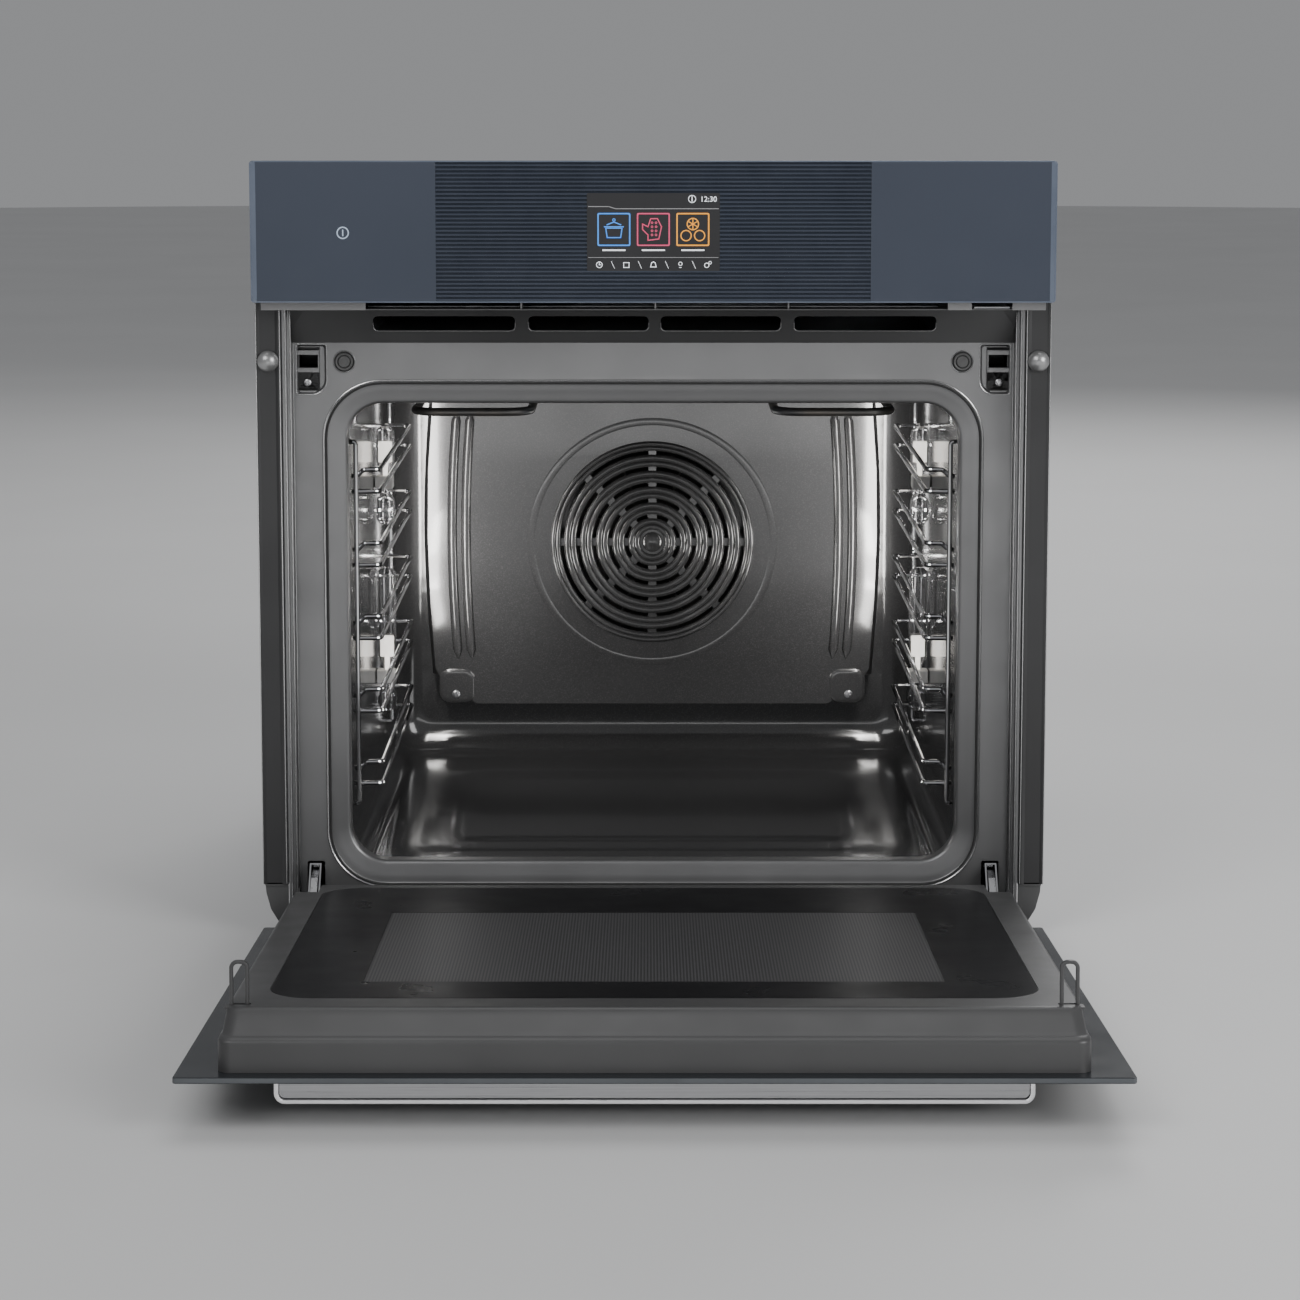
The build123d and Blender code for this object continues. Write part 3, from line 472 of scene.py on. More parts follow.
# colour, roughness, metallic, then (noise, other colour), (noise, low, high), (noise, strength, depth in mm)
ENAMEL_PEEL = ((900, 2), 0.12, 0.05)
FINISHES = {
    "blue_glass": ((0.058, 0.068, 0.090), 0.14, 0, ((3.0,), (0.068, 0.079, 0.104)), ((40,), 0.10, 0.16)),
    # partly painted highlight: a lighter blue than the panel glass, for its polished edge and the strips at
    # its ends
    "blue_glass_edge": ((0.105, 0.128, 0.175), 0.2, 0, ((25,), (0.135, 0.160, 0.210))),
    "cut_glass_edge": ((0.060, 0.066, 0.072), 0.25, 0, ((25,), (0.080, 0.088, 0.096))),
    # painted highlight: a much lighter, glossier copy of the frame enamel, for the bright lines along the
    # edges
    "rolled_enamel": ((0.50, 0.50, 0.50), 0.22, 0.95, ((30, 3), (0.60, 0.60, 0.60))),
    "groove_print": ((0.012, 0.017, 0.028), 0.35, 0, ((60,), (0.018, 0.024, 0.036))),
    "ridge_print": ((0.042, 0.051, 0.070), 0.2, 0, ((30,), (0.050, 0.060, 0.082))),
    "frame_enamel": ((0.200, 0.200, 0.202), 0.36, 0.7, ((9, 4), (0.232, 0.232, 0.234)),
                     ((30, 5), 0.28, 0.38), ENAMEL_PEEL),
    "vent_enamel": ((0.105, 0.105, 0.106), 0.36, 0.6, ((9, 4), (0.130, 0.130, 0.131)), None, ENAMEL_PEEL),
    "trim_enamel": ((0.045, 0.045, 0.046), 0.38, 0.5, ((9, 4), (0.056, 0.056, 0.057)), None, ENAMEL_PEEL),
    "cap_metal": ((0.34, 0.34, 0.34), 0.32, 0.7, ((60, 3), (0.40, 0.40, 0.40))),
    "door_enamel": ((0.062, 0.062, 0.063), 0.44, 0.3, ((7, 4), (0.076, 0.076, 0.077)),
                    ((25, 5), 0.36, 0.47), ((1000, 2), 0.12, 0.05)),
    "cavity_enamel": ((0.032, 0.032, 0.033), 0.16, 0, ((1400, 2), (0.060, 0.060, 0.060), 0.52, 0.72),
                      ((12, 4), 0.12, 0.2), ((120, 3), 0.10, 0.2)),
    "chrome": ((0.80, 0.80, 0.81), 0.07, 1.0, ((60,), (0.72, 0.72, 0.73)), ((80, 4), 0.05, 0.13)),
    "polished_steel": ((0.92, 0.92, 0.93), 0.28, 1.0, None, ((200, 4, (0.05, 1, 1)), 0.24, 0.36)),
    "hinge_steel": ((0.42, 0.42, 0.43), 0.3, 1.0, ((90, 4), (0.55, 0.55, 0.56)), ((150, 4), 0.22, 0.4)),
    "heater_steel": ((0.10, 0.11, 0.12), 0.42, 0.8, ((35, 4), (0.19, 0.17, 0.15)), None,
                     ((700, 3), 0.2, 0.05)),
    "cast_aluminium": ((0.55, 0.55, 0.56), 0.36, 1.0, ((60, 4), (0.64, 0.64, 0.65)), None,
                       ((600, 3), 0.12, 0.05)),
    "black_glass": ((0.009, 0.009, 0.010), 0.3, 0, None, ((18, 3), 0.26, 0.34)),
    "outer_glass": ((0.020, 0.022, 0.025), 0.3, 0, ((6,), (0.027, 0.030, 0.034)), ((25,), 0.16, 0.24)),
    "clear_glass": ((0.92, 0.94, 0.94), 0.03, 0, None, ((40,), 0.02, 0.06)),
    "lamp_glass": ((0.93, 0.93, 0.94), 0.03, 0, None, ((60,), 0.02, 0.05)),
    "lit_glass": ((0.95, 0.93, 0.90), 0.2, 0, None, ((60,), 0.15, 0.3)),
    "ceramic": ((0.70, 0.69, 0.67), 0.45, 0, ((120, 4), (0.78, 0.77, 0.75)), None, ((500, 4), 0.15, 0.1)),
    "rubber": ((0.018, 0.018, 0.018), 0.62, 0, ((200, 4), (0.028, 0.028, 0.028)), None,
               ((900, 3), 0.2, 0.08)),
    "buffer_rubber": ((0.065, 0.065, 0.065), 0.5, 0, ((200, 4), (0.085, 0.085, 0.085)), None,
                      ((900, 3), 0.2, 0.08)),
    "black_plastic": ((0.022, 0.022, 0.023), 0.5, 0, ((80, 4), (0.032, 0.032, 0.033)), None,
                      ((1200, 2), 0.25, 0.08)),
    "mineral_wool": ((0.48, 0.43, 0.28), 0.95, 0, ((45, 6), (0.62, 0.57, 0.42)), None,
                     ((160, 6, (1, 1, 4)), 0.9, 2.0)),
    "dark_steel": ((0.035, 0.035, 0.036), 0.45, 0.6, ((30, 4), (0.05, 0.05, 0.05))),
    "dark_steel_fan": ((0.030, 0.029, 0.028), 0.5, 0.5, ((40, 4), (0.045, 0.043, 0.040))),
    "screen_black": ((0.020, 0.020, 0.021), 0.12, 0, None, ((20,), 0.08, 0.16)),
}
SOCKETS = {
    "blue_glass": dict(Specular_IOR_Level=0.3),
    "blue_glass_edge": dict(Coat_Weight=0.4, Coat_Roughness=0.05),
    "cut_glass_edge": dict(Coat_Weight=0.3, Coat_Roughness=0.05),
    "groove_print": dict(Specular_IOR_Level=0.2),
    "ridge_print": dict(Specular_IOR_Level=0.3),
    "cavity_enamel": dict(Specular_IOR_Level=0.6, Coat_Weight=0.5, Coat_Roughness=0.08),
    "black_glass": dict(Specular_IOR_Level=0.05),
    "outer_glass": dict(Specular_IOR_Level=0.12),
    "clear_glass": dict(Transmission_Weight=1.0, IOR=1.45),
    "lamp_glass": dict(Transmission_Weight=1.0, IOR=1.15, Coat_Weight=1.0, Coat_Roughness=0.02),
    "lit_glass": dict(Emission_Color=(1.0, 0.95, 0.88, 1), Emission_Strength=1.6),
    "screen_black": dict(Emission_Color=(0.03, 0.03, 0.032, 1), Emission_Strength=0.7),
}
GLOWS = {
    "white_light": ((0.85, 0.88, 0.92), 0.8), "soft_light": ((0.42, 0.50, 0.62), 0.4),
    "blue_light": ((0.04, 0.22, 0.66), 1.0), "red_light": ((0.50, 0.06, 0.13), 1.0),
    "amber_light": ((0.70, 0.29, 0.03), 1.0), "grey_light": ((0.30, 0.30, 0.31), 0.4),
}
PAINTS = {name: finish(name, *row, **SOCKETS.get(name, {})) for name, row in FINISHES.items()}
PAINTS.update({make.__name__: make() for make in (brushed_steel, zinc_steel, window_print, circuit_board)})
PAINTS.update({name: glow(name, *row) for name, row in GLOWS.items()})


# Control panel
BAND_X = 161.0
SCREEN_X, SCREEN_Z = 49.2, (510.7, 568.2)
LIT_Y = -PROUD - 0.16
ICON_X, ICON_Z = 29.2, 541.3
INFO_X = 28.6


def control_panel():
    z0, z1 = PANEL_Z
    rim = 1.2
    band = rect(-BAND_X, BAND_X, z0 + rim, z1 - rim)
    outer = rect(-PANEL_X, PANEL_X, z0, z1, 2.5)
    glass = plate(outer, [band], 4, 0.4, -PROUD)
    piece("panel_glass", glass, "root", "blue_glass", replaces=["control_glass"])
    # The polished glass edge is a lighter blue rim, brightened as a painted highlight, and the lighter strip
    # at each end is a painted side highlight.
    inside = rect(-PANEL_X + 1.1, PANEL_X - 1.1, z0 + 1.1, z1 - 1.1, 1.6)
    lip = plate(outer, [inside], 0.5, 0.2, -PROUD - 0.05)
    end = rect(PANEL_X - 4.5, PANEL_X - 1.0, z0 + 1.0, z1 - 1.0, 0.6)
    ends = mirrored(plate(end, (), 0.3, 0.1, -PROUD - 0.02))
    piece("panel_glass_edge_highlight", joined([lip, ends]), "root", "blue_glass_edge")
    ridges_and_grooves(z0 + rim, z1 - rim)
    piece("power_symbol", power_symbol(-229.8, 538.8), "root", "soft_light")


def ridges_and_grooves(z0, z1):
    """The band of fine horizontal grooves in the middle of the panel."""
    count, depth = 34, 0.7
    pitch = (z1 - z0) / count
    profile, grooves = [(z0, -PROUD + depth)], []
    for k in range(count):
        z = z0 + k * pitch
        profile += [(z + 0.12, -PROUD), (z + pitch * 0.5, -PROUD), (z + pitch * 0.5 + 0.12, -PROUD + depth)]
        profile.append((z + pitch, -PROUD + depth))
    rows = [[Vector((x, y, z)) for x in (-BAND_X, BAND_X)] for z, y in profile]
    mesh = loop_mesh(rows, closed=False)
    for face in mesh.polygons:
        grooves.append(int(face.center.y > -PROUD + depth * 0.9))
    mesh.polygons.foreach_set("material_index", grooves)
    piece("panel_ribbed_band", mesh, "root", ["ridge_print", "groove_print"])


def line_art(paths, width, y=LIT_Y, closed=False):
    """Thin raised strokes on the display, along x, z paths."""
    meshes = []
    for path in paths:
        points = [Vector((p[0], p[1], 0)) for p in path]
        if closed:
            points.append(points[0])
        for a, b in zip(points, points[1:]):
            run = (b - a).normalized() * width / 2
            side = Vector((-run.y, run.x, 0))
            outline = [a - run + side, a - run - side, b + run - side, b + run + side]
            meshes.append(plate(outline, (), 0.12, 0.03, y))
    return joined(meshes)


def ring_art(x, z, radius, width, y=LIT_Y):
    return plate(circle(x, z, radius, 28), [circle(x, z, radius - width, 28)], 0.12, 0.03, y)


def power_symbol(x, z):
    y = -PROUD - 0.08
    return joined([ring_art(x, z, 4.6, 0.9, y), line_art([[(x, z - 2.0), (x, z + 2.0)]], 0.9, y)])


def icon_tile(x, z, paint, name, art):
    outer, inner = (rect(x - r, x + r, z - r, z + r, bend) for r, bend in ((12.2, 1.2), (11.2, 0.8)))
    tile = plate(outer, [inner], 0.12, 0.03, LIT_Y)
    piece(name, joined([tile] + art), "root", paint)


def pot_art(x, z):
    body = [[(x - 6, z + 1), (x - 5, z - 6), (x + 5, z - 6), (x + 6, z + 1)]]
    lid = [[(x - 7, z + 2), (x + 7, z + 2)], [(x - 5, z + 3.5), (x, z + 5.5), (x + 5, z + 3.5)]]
    return [line_art(body, 0.8, closed=True), line_art(lid, 0.8), ring_art(x, z + 7, 1.2, 0.6)]


def mitt_art(x, z):
    outline = [(x + dx, z + dz) for dx, dz in ((-4, -8), (4, -7), (6, 2), (3, 8), (-2, 8), (-4, 2), (-8, 4),
                                               (-8, 0), (-4, -4))]
    dots = [ring_art(x - 1 + 3 * (k % 2), z - 4 + 3 * (k // 2), 0.9, 0.5) for k in range(8)]
    return [line_art([outline], 0.8, closed=True)] + dots


def plate_art(x, z):
    spokes = [[(x + 3.4 * cos(a), z + 4 + 3.4 * sin(a)), (x - 3.4 * cos(a), z + 4 - 3.4 * sin(a))]
              for a in (radians(30 + 60 * k) for k in range(3))]
    rings = [ring_art(x, z + 4, 4.6, 0.8)] + [ring_art(x + dx, z - 4.5, 4.2, 0.8) for dx in (-5, 5)]
    return rings + [line_art(spokes, 0.7)]


def clock_digits():
    """The time as plain digits."""
    text = bpy.data.curves.new("clock", "FONT")
    text.body, text.size, text.extrude, text.align_x = "12:30", 5.6, 0.05, "RIGHT"
    mesh = mesh_of(text)
    return moved(mesh, Matrix.Translation((47.0, LIT_Y, 561.8)) @ FACING)


def display():
    z0, z1 = SCREEN_Z
    screen = plate(rect(-SCREEN_X, SCREEN_X, z0, z1, 1.2), (), 1.0, 0.1, -PROUD - 0.1)
    piece("display_screen", screen, "root", "screen_black")
    tiles = ((-ICON_X, "blue_light", "icon_cooking", pot_art), (0, "red_light", "icon_oven_glove", mitt_art),
             (ICON_X, "amber_light", "icon_functions", plate_art))
    for x, paint, name, art in tiles:
        icon_tile(x, ICON_Z, paint, name, art(x, ICON_Z))
    header = [[(-48, 558.2), (-33, 558.2), (-28, 556.6), (48, 556.6)]]
    footer = [[(-48, 520.6), (48, 520.6)]]
    rules = joined([line_art(header, 0.5), line_art(footer, 0.35)])
    piece("display_lines", rules, "root", "grey_light")
    white = [clock_digits(), ring_art(INFO_X, 563.8, 2.9, 0.5)]
    white.append(line_art([[(INFO_X, 562.2), (INFO_X, 564.2)]], 0.7))
    white.append(line_art([[(INFO_X, 565.1), (INFO_X, 565.4)]], 0.7))
    white += [line_art([[(x - 8, 526), (x + 8, 526)]], 1.1) for x in (-ICON_X, 0, ICON_X)]
    white += footer_icons(515.2)
    piece("display_marks", joined(white), "root", "white_light")


def footer_icons(z):
    """Timer, cup, bell, lamp and gear marks in a row, parted by slanting lines."""
    marks = [ring_art(-40, z, 2.4, 0.5), line_art([[(-40, z), (-40, z + 1.6)], [(-40, z), (-38.9, z)]], 0.5)]
    marks.append(line_art([[(-22, z - 2), (-22, z + 1.6), (-18, z + 1.6), (-18, z - 2)]], 0.5, closed=True))
    bell = [(-2, z - 1.6), (-1.4, z + 1.4), (0, z + 2.2), (1.4, z + 1.4), (2, z - 1.6)]
    marks.append(line_art([bell], 0.5, closed=True))
    marks += [ring_art(20, z + 0.7, 1.5, 0.45), line_art([[(19.4, z - 2), (20.6, z - 2)]], 0.5)]
    marks += [ring_art(39.5, z - 0.4, 1.9, 0.5), ring_art(42, z + 1.5, 1.2, 0.4)]
    marks += [line_art([[(x - 1.2, z + 2.6), (x + 1.2, z - 2.6)]], 0.3) for x in (-30, -10, 10, 30)]
    return marks


# Front frame
def frame_face():
    outer = rect(-273.2, 273.2, 1.4, 454, 0.5)
    pressed = rect(-251, 251, 32, 425.5, 45, 10)
    holes = [pressed]
    for side in (-1, 1):
        holes.append(pocket_outline(side))
        holes.append(rect(*sorted((side * 253.3, side * 266.7)), 27, 52.5, 1.5))
        holes.append(circle(side * BUFFER_X, BUFFER_Z, 8.0, 28))
    return plate(outer, holes, 1.2, 0.3, FACE_Y)


def pocket_outline(side, inset=0.0):
    x0, x1 = 247.5 + inset, 270.3 - inset
    points = [(x0, 414.5 + inset), (x1, 414.5 + inset), (x1, 452.5 - inset), (x0, 452.5 - inset)]
    if side < 0:
        points = [(-x, z) for x, z in points][::-1]
        return rounded(points, [2, 2, 1.5, 11], 8)
    return rounded(points, [11, 1.5, 2, 2], 8)


def pockets():
    """The two sunk corner pockets that hold the catch receivers."""
    meshes = []
    for side in (-1, 1):
        rows = []
        for y, inset in ((22.0, -0.3), (22.1, 0.2), (22.6, 0.7), (24.6, 1.2), (25.2, 1.8)):
            rows.append([Vector((p.x, y, p.y)) for p in pocket_outline(side, inset)])
        meshes.append(loop_mesh(rows, cap_end=False))
        floor_holes = [rect(*sorted((side * 253.6, side * 268.4)), 433.6, 445.9)]
        meshes.append(plate(pocket_outline(side, 1.7), floor_holes, 0.8, 0.1, 25.0))
    return joined(meshes)


def pressed_band():
    """From the pressed border line inwards, down the slope and round the rolled edge of the opening."""
    steps = ((0.25, 22.6), (0.0, 22.0), (-0.5, 21.5), (-1.4, 21.3), (-2.1, 21.7), (-2.4, 22.8), (-3.6, 23.4),
             (-5.6, 23.5), (-9, 24.4), (-13.5, 25.6), (-15.6, 25.9), (-17.0, 26.6), (-17.8, 28.0),
             (-18.0, 30), (-18.0, 38))
    loops = []
    for grow, y in steps:
        t = min(1.0, -grow / 18.0) if grow < 0 else 0.0
        z0, z1 = 32 + 20 * t, 425.5 - 18.5 * t
        loops.append(front_loop(251 + grow, z0 - max(grow, 0), z1 + max(grow, 0), 45 - 17 * t, y, steps=14))
    return loop_mesh(loops)


def side_steps():
    """The stepped ribs between the face and the trims, one folded sheet each side."""
    outline = [(273.7, 23.0), (273.7, 9.6), (276.2, 9.6), (276.2, 0.5), (278.5, 0.5)]
    return mirrored(rail(outline, 1.4, PANEL_Z[0] - 0.3, 0.8, 1.0))


def front_frame():
    mesh = joined([frame_face(), pockets(), pressed_band(), side_steps(), buffer_dimples()])
    piece("frame_pressing", mesh, "root", "frame_enamel", ["front_frame"], sharp=50)


def buffer_dimples():
    profile = [(8.6, 22.3), (8.6, 21.9), (8.1, 21.5), (7.4, 21.7), (6.9, 22.6), (6.9, 24)]
    return joined([revolved(profile, (side * BUFFER_X, 0, BUFFER_Z)) for side in (-1, 1)])


def buffers():
    profile = [(0, 20.3), (3.9, 20.3), (4.4, 20.7), (4.6, 21.6), (4.9, 21.7), (5.2, 20.2), (6.2, 19.9),
               (6.8, 20.6), (6.8, 24)]
    mesh = joined([revolved(profile, (side * BUFFER_X, 0, BUFFER_Z)) for side in (-1, 1)])
    piece("rubber_buffers", mesh, "root", "buffer_rubber", replaces=["frame_buffers"])


def seal():
    """A narrow black lip just inside the pressed border line."""
    loops = []
    for k in range(13):
        a = 2 * pi * k / 12
        out, y = 0.8 * cos(a), 21.5 + 1.2 * sin(a)
        loops.append(front_loop(248.2 + out, 34.5 - out, 422.9 + out, 42.4 + out, y, steps=12))
    piece("seal_lip", loop_mesh(loops), "root", "rubber", replaces=["door_seal"])


def rolled_edge_highlights():
    """Rolled edges of the frame, trims and vent slots, the pressed border ridge and the pocket rims, as thin
    beads in an enamel much lighter than the frame's: painted highlight lines along these edges.
    """
    top = PANEL_Z[0] - 0.5
    starts = ((TRIM_X - 0.5, -0.8, 40.5, top), (280.2, -1.0, 40.5, top), (276.0, 0.3, 9.5, top),
              (273.4, 9.4, 1.8, top), (272.7, 21.9, 1.8, 453))
    uprights = mirrored(wires([[(x, y, low), (x, y, high)] for x, y, low, high in starts], 0.45, 0))
    ledge = wires([[(-253, 21.9, 454), (253, 21.9, 454)]], 0.5, 0)
    lips = [[(a, 19, 1.0), (a, 11, 1.0), (b, 11, 1.0), (b, 19, 1.0)] for a, b in VENT_SLOTS]
    lips = moved(wires(lips, 0.45, 4.2), vent_tilt())
    ridge = []
    for k in range(9):
        a = 2 * pi * k / 8
        out, y = 0.7 * cos(a), 21.5 + 0.9 * sin(a)
        ridge.append(front_loop(250.4 + out, 32.6 - out, 424.9 + out, 44.4 + out, y, steps=12))
    rims = []
    for side in (-1, 1):
        outline = pocket_outline(side, -0.2)
        rims.append(wires([[(p.x, 21.9, p.y) for p in outline + outline[:1]]], 0.4, 0))
    body = joined([uprights, ledge, lips, loop_mesh(ridge)] + rims)
    # the beads' lighter enamel is a painted highlight along each edge
    piece("rolled_edge_highlights", body, "root", "rolled_enamel")


def receivers():
    """The catch brackets: a plate with a lined window and a rounded tab for its screw."""
    meshes = []
    for side in (-1, 1):
        tab = [(252.6, 450), (269.8, 450), (269.8, 424), (CATCH_X + 8.2, 415.6), (CATCH_X - 8.2, 415.6),
               (252.6, 424)]
        points = [(side * x, z) for x, z in tab]
        outline = rounded(points, [1.5, 1.5, 4, 7.5, 7.5, 4], 6)
        x0, x1 = sorted((side * (CATCH_X - 7.65), side * (CATCH_X + 7.65)))
        window = rect(x0, x1, CATCH_Z - 4.85, CATCH_Z + 4.85, 0.4)
        holes = [window, circle(side * CATCH_X, CATCH_SCREW_Z, 1.7, 20)]
        meshes.append(plate(outline, holes, 1.0, 0.3, 24.0))
        for z0, z1 in ((CATCH_Z + 4.9, CATCH_Z + 8.4), (CATCH_Z - 8.4, CATCH_Z - 4.9)):
            meshes.append(block((x0 - 0.3, x1 + 0.3), (23.1, 24.1), (z0, z1), 0.3))
        for edge in (x0 - 1.3, x1 + 0.3):
            meshes.append(block((edge, edge + 1.0), (23.0, 24.1), (CATCH_Z - 8.6, CATCH_Z + 8.6), 0.3))
    piece("catch_brackets", joined(meshes), "root", "frame_enamel")


def cross_screw(x, z, y, radius):
    """A pan head with a cross recess."""
    profile = [(0, y - 2.0), (radius * 0.5, y - 1.9), (radius * 0.85, y - 1.4), (radius, y - 0.5),
               (radius, y)]
    head = revolved(profile, (x, 0, z), steps=28)
    arm, wide = radius * 0.55, radius * 0.14
    tools = [block((x - wide, x + wide), (y - 3, y - 1.0), (z - arm, z + arm), 0.02),
             block((x - arm, x + arm), (y - 3, y - 1.05), (z - wide, z + wide), 0.02)]
    return cut(loop_capped(head), tools)


def loop_capped(mesh):
    bm = bmesh.new()
    bm.from_mesh(mesh)
    bmesh.ops.remove_doubles(bm, verts=bm.verts, dist=0.05)
    bmesh.ops.holes_fill(bm, edges=bm.edges[:])
    bmesh.ops.recalc_face_normals(bm, faces=bm.faces)
    return to_mesh(bm)


def screws():
    heads = [cross_screw(side * CATCH_X, CATCH_SCREW_Z, 24, 3.1) for side in (-1, 1)]
    heads += [cross_screw(side * 175, 107, COVER_Y - 0.6, 4.0) for side in (-1, 1)]
    piece("cross_screws", joined(heads), "root", "hinge_steel", replaces=["small_screws"])


def trims():
    fold = [(TRIM_X - 0.5, 2.4), (TRIM_X - 0.5, -0.7), (295.5, 0.1), (283.5, 0.1), (281.6, -0.9),
            (279.5, -0.7), (279.5, 9.5)]
    rails = mirrored(rail(fold, 40, PANEL_Z[0] - 0.2, 1.0, 1.2))
    piece("trim_rails", rails, "root", "trim_enamel", replaces=["side_trims"])
    foot = [(279.2, 40.4), (297, 40.4), (296.4, 33), (293, 20), (287, 10), (279.2, 9.2)]
    outline = rounded(foot, [0.5, 1, 6, 8, 4, 0.5], 5)
    ledge = plate(rect(279.4, 297, 38.6, 41.2, 0.6), (), 0.8, 0.2, -0.4)
    feet = joined([plate(outline, (), 1.0, 0.25, 1.0), ledge])
    piece("trim_feet", mirrored(feet), "root", "vent_enamel")
    turns = [radians(10 * k) for k in range(10)]
    dome = [(8.0, -1.2)] + [(8.0 * cos(a), -1.4 - 7.2 * sin(a)) for a in turns]
    caps = joined([revolved(dome, (side * FIXING_X, 0, FIXING_Z)) for side in (-1, 1)])
    piece("screw_caps", caps, "root", "cap_metal", replaces=["fixing_covers"])


def vent_tilt():
    """Stands a flat sheet up along the inclined strip."""
    lean = (VENT_HIGH - VENT_LOW).normalized()
    rows = ((1, 0, 0, 0), (0, lean.y, -lean.z, VENT_LOW.y), (0, lean.z, lean.y, VENT_LOW.z), (0, 0, 0, 1))
    return Matrix(rows)


def vents():
    """The inclined strip with four slots below the control panel, and its folded ends."""
    length = (VENT_HIGH - VENT_LOW).length
    slots = [rect(a, b, 11, 24.6, 4.2) for a, b in VENT_SLOTS]
    sheet = plate(rect(-273, 273, 0, length, 0.3), slots, 1.0, 0.3, 0.0, turned=False)
    shelf = block((-273, 273), (-14, 6.2), (480.9, 481.9), 0.3)
    piece("vent_louvre", joined([moved(sheet, vent_tilt()), shelf, vent_gussets()]), "root",
          "vent_enamel", replaces=["vent_strip"])
    fins = [block((x - 0.6, x + 0.6), (-13, 3), (481.9, 486.8), 0.15) for x in (-98.4, 1.5, 100.6)]
    strips = [block(x, (-16, -14.2), (481, 486.8), 0.3) for x in ((-292, -214), (219, 237), (267, 292))]
    piece("outlet_fins", joined(fins + strips), "root", "frame_enamel")


def vent_gussets():
    """The slanted cheeks that close the strip's two ends."""
    near, far = ((273, 22.0, 454.3), (268.5, 21.6, 454.8)), ((273, 5.4, 480.9), (262.0, 5.0, 480.9))
    proud = Vector((0, -1.6, -0.8))
    base = [Vector(near[0]), Vector(near[1]), Vector(far[1]), Vector(far[0])]
    front = [base[0], base[1], base[2] + proud * 0.2, base[3] + proud]
    return mirrored(loop_mesh([base, front], cap_start=True, cap_end=True))


# Cavity
def floor_relief(x, y):
    """How far the floor stands above its lowest part, which is pressed in two steps."""
    def step(value, edge, soft):
        t = max(0.0, min(1.0, (edge - abs(value)) / soft))
        return t * t * (3 - 2 * t)
    middle_y = 232
    broad = step(x, 196, 20) * step(y - middle_y, 172, 18)
    deep = step(x, 158, 14) * step(y - middle_y, 128, 14)
    return 3.6 - 1.7 * broad - 1.9 * deep


def cavity():
    z0, z1 = CAVITY_Z
    rows = [30 + 13.0 * k for k in range(31)]
    loops = [front_loop(CAVITY_X - 1.2, z0 + 1.2, z1 - 1.2, 27, 29, side=40),
             front_loop(CAVITY_X, z0, z1, 28, 29.4, side=40)]
    for y in rows:
        loops.append(front_loop(CAVITY_X, z0, z1, 28, y, side=40))
    for k in range(1, 9):
        a = pi / 2 * k / 8
        inset, y = 28 * (1 - cos(a)), CAVITY_BACK - 28 + 28 * sin(a)
        loops.append(front_loop(CAVITY_X - inset, z0 + inset, z1 - inset, 28 - inset * 0.6, y, side=40))
    for loop in loops:
        for p in loop:
            if p.z < z0 + 0.6:
                p.z += floor_relief(p.x, p.y) - 1.0
    mesh = loop_mesh(loops, cap_end=True)
    covered = ["cavity_wrap", "cavity_back"]
    piece("cavity_liner", mesh, "root", "cavity_enamel", covered, sharp=60)


def ring_arc(radius, half_width, start, end, steps=14):
    """A closed outline of part of a ring, with x, z about the fan's axis."""
    angles = [radians(start + (end - start) * k / steps) for k in range(steps + 1)]
    return [Vector((r * cos(a), FAN_Z + r * sin(a), 0))
            for r, row in ((radius + half_width, angles), (radius - half_width, angles[::-1])) for a in row]


SLOT_RADII = (23.0, 37.2, 51.4, 65.6, 79.8)
SLOT_GAP = 206.28  # degrees between two slots, times the radius


def cover_outline():
    w, z0, z1 = 193.0, 98.0, 388.0
    left = [(-w + 36, z0), (-w, z0 + 30), (-w - 4.4, z0 + 90), (-w - 6.4, z0 + 150), (-w - 5.6, z0 + 210),
            (-w, z1)]
    right = [(-x, z) for x, z in left][::-1]
    return rounded(left + right, [8, 8, 60, 60, 60, 6, 6, 60, 60, 60, 8, 8], 6)


def fan_cover():
    """The pressed cover: a plate with ring slots, rounded rings between them, beads and tabs."""
    slots = []
    for n, radius in enumerate(SLOT_RADII):
        gap = SLOT_GAP / radius
        for k in range(8):
            slots.append(ring_arc(radius, 1.5, 45 * k + gap, 45 * (k + 1) - gap, 8 + 2 * n))
    sheet = plate(cover_outline(), slots, 1.2, 0.35, COVER_Y)
    rings = []
    edges = [11.0] + [e for r in SLOT_RADII for e in (r - 1.7, r + 1.7)] + [90.0]
    for inner, outer in zip(edges[0::2], edges[1::2]):
        middle = (inner + outer) / 2
        rings += [band_ring(inner, middle + 0.3, 2.6), band_ring(middle - 0.3, outer, 2.6)]
    turns = [radians(15 * k) for k in range(7)]
    dome = [(9.5, COVER_Y + 0.1)] + [(9.0 * cos(a), COVER_Y - 3.4 * sin(a)) for a in turns]
    rings.append(revolved(dome, (0, 0, FAN_Z)))
    rings.append(band_ring(104, 111, 0.3))
    beads = [bead(x, 138, 362, 4.3, 4.2) for x in (160.5, 172.5)]
    tabs = [swell([(p.x, p.y) for p in rect(158, 190, 99, 130, 9)], COVER_Y + 0.2, COVER_Y - 1.4, 5)]
    body = joined([sheet] + rings + [mirrored(joined(beads + tabs))])
    # The cover's sloping edge is dark steel, not the cover's enamel: a painted shadow along its side.
    piece("fan_guard_edge_shadow", mirrored(cover_flange()), "root", "dark_steel")
    piece("fan_guard", body, "root", "cavity_enamel", replaces=["fan_cover"], sharp=45)


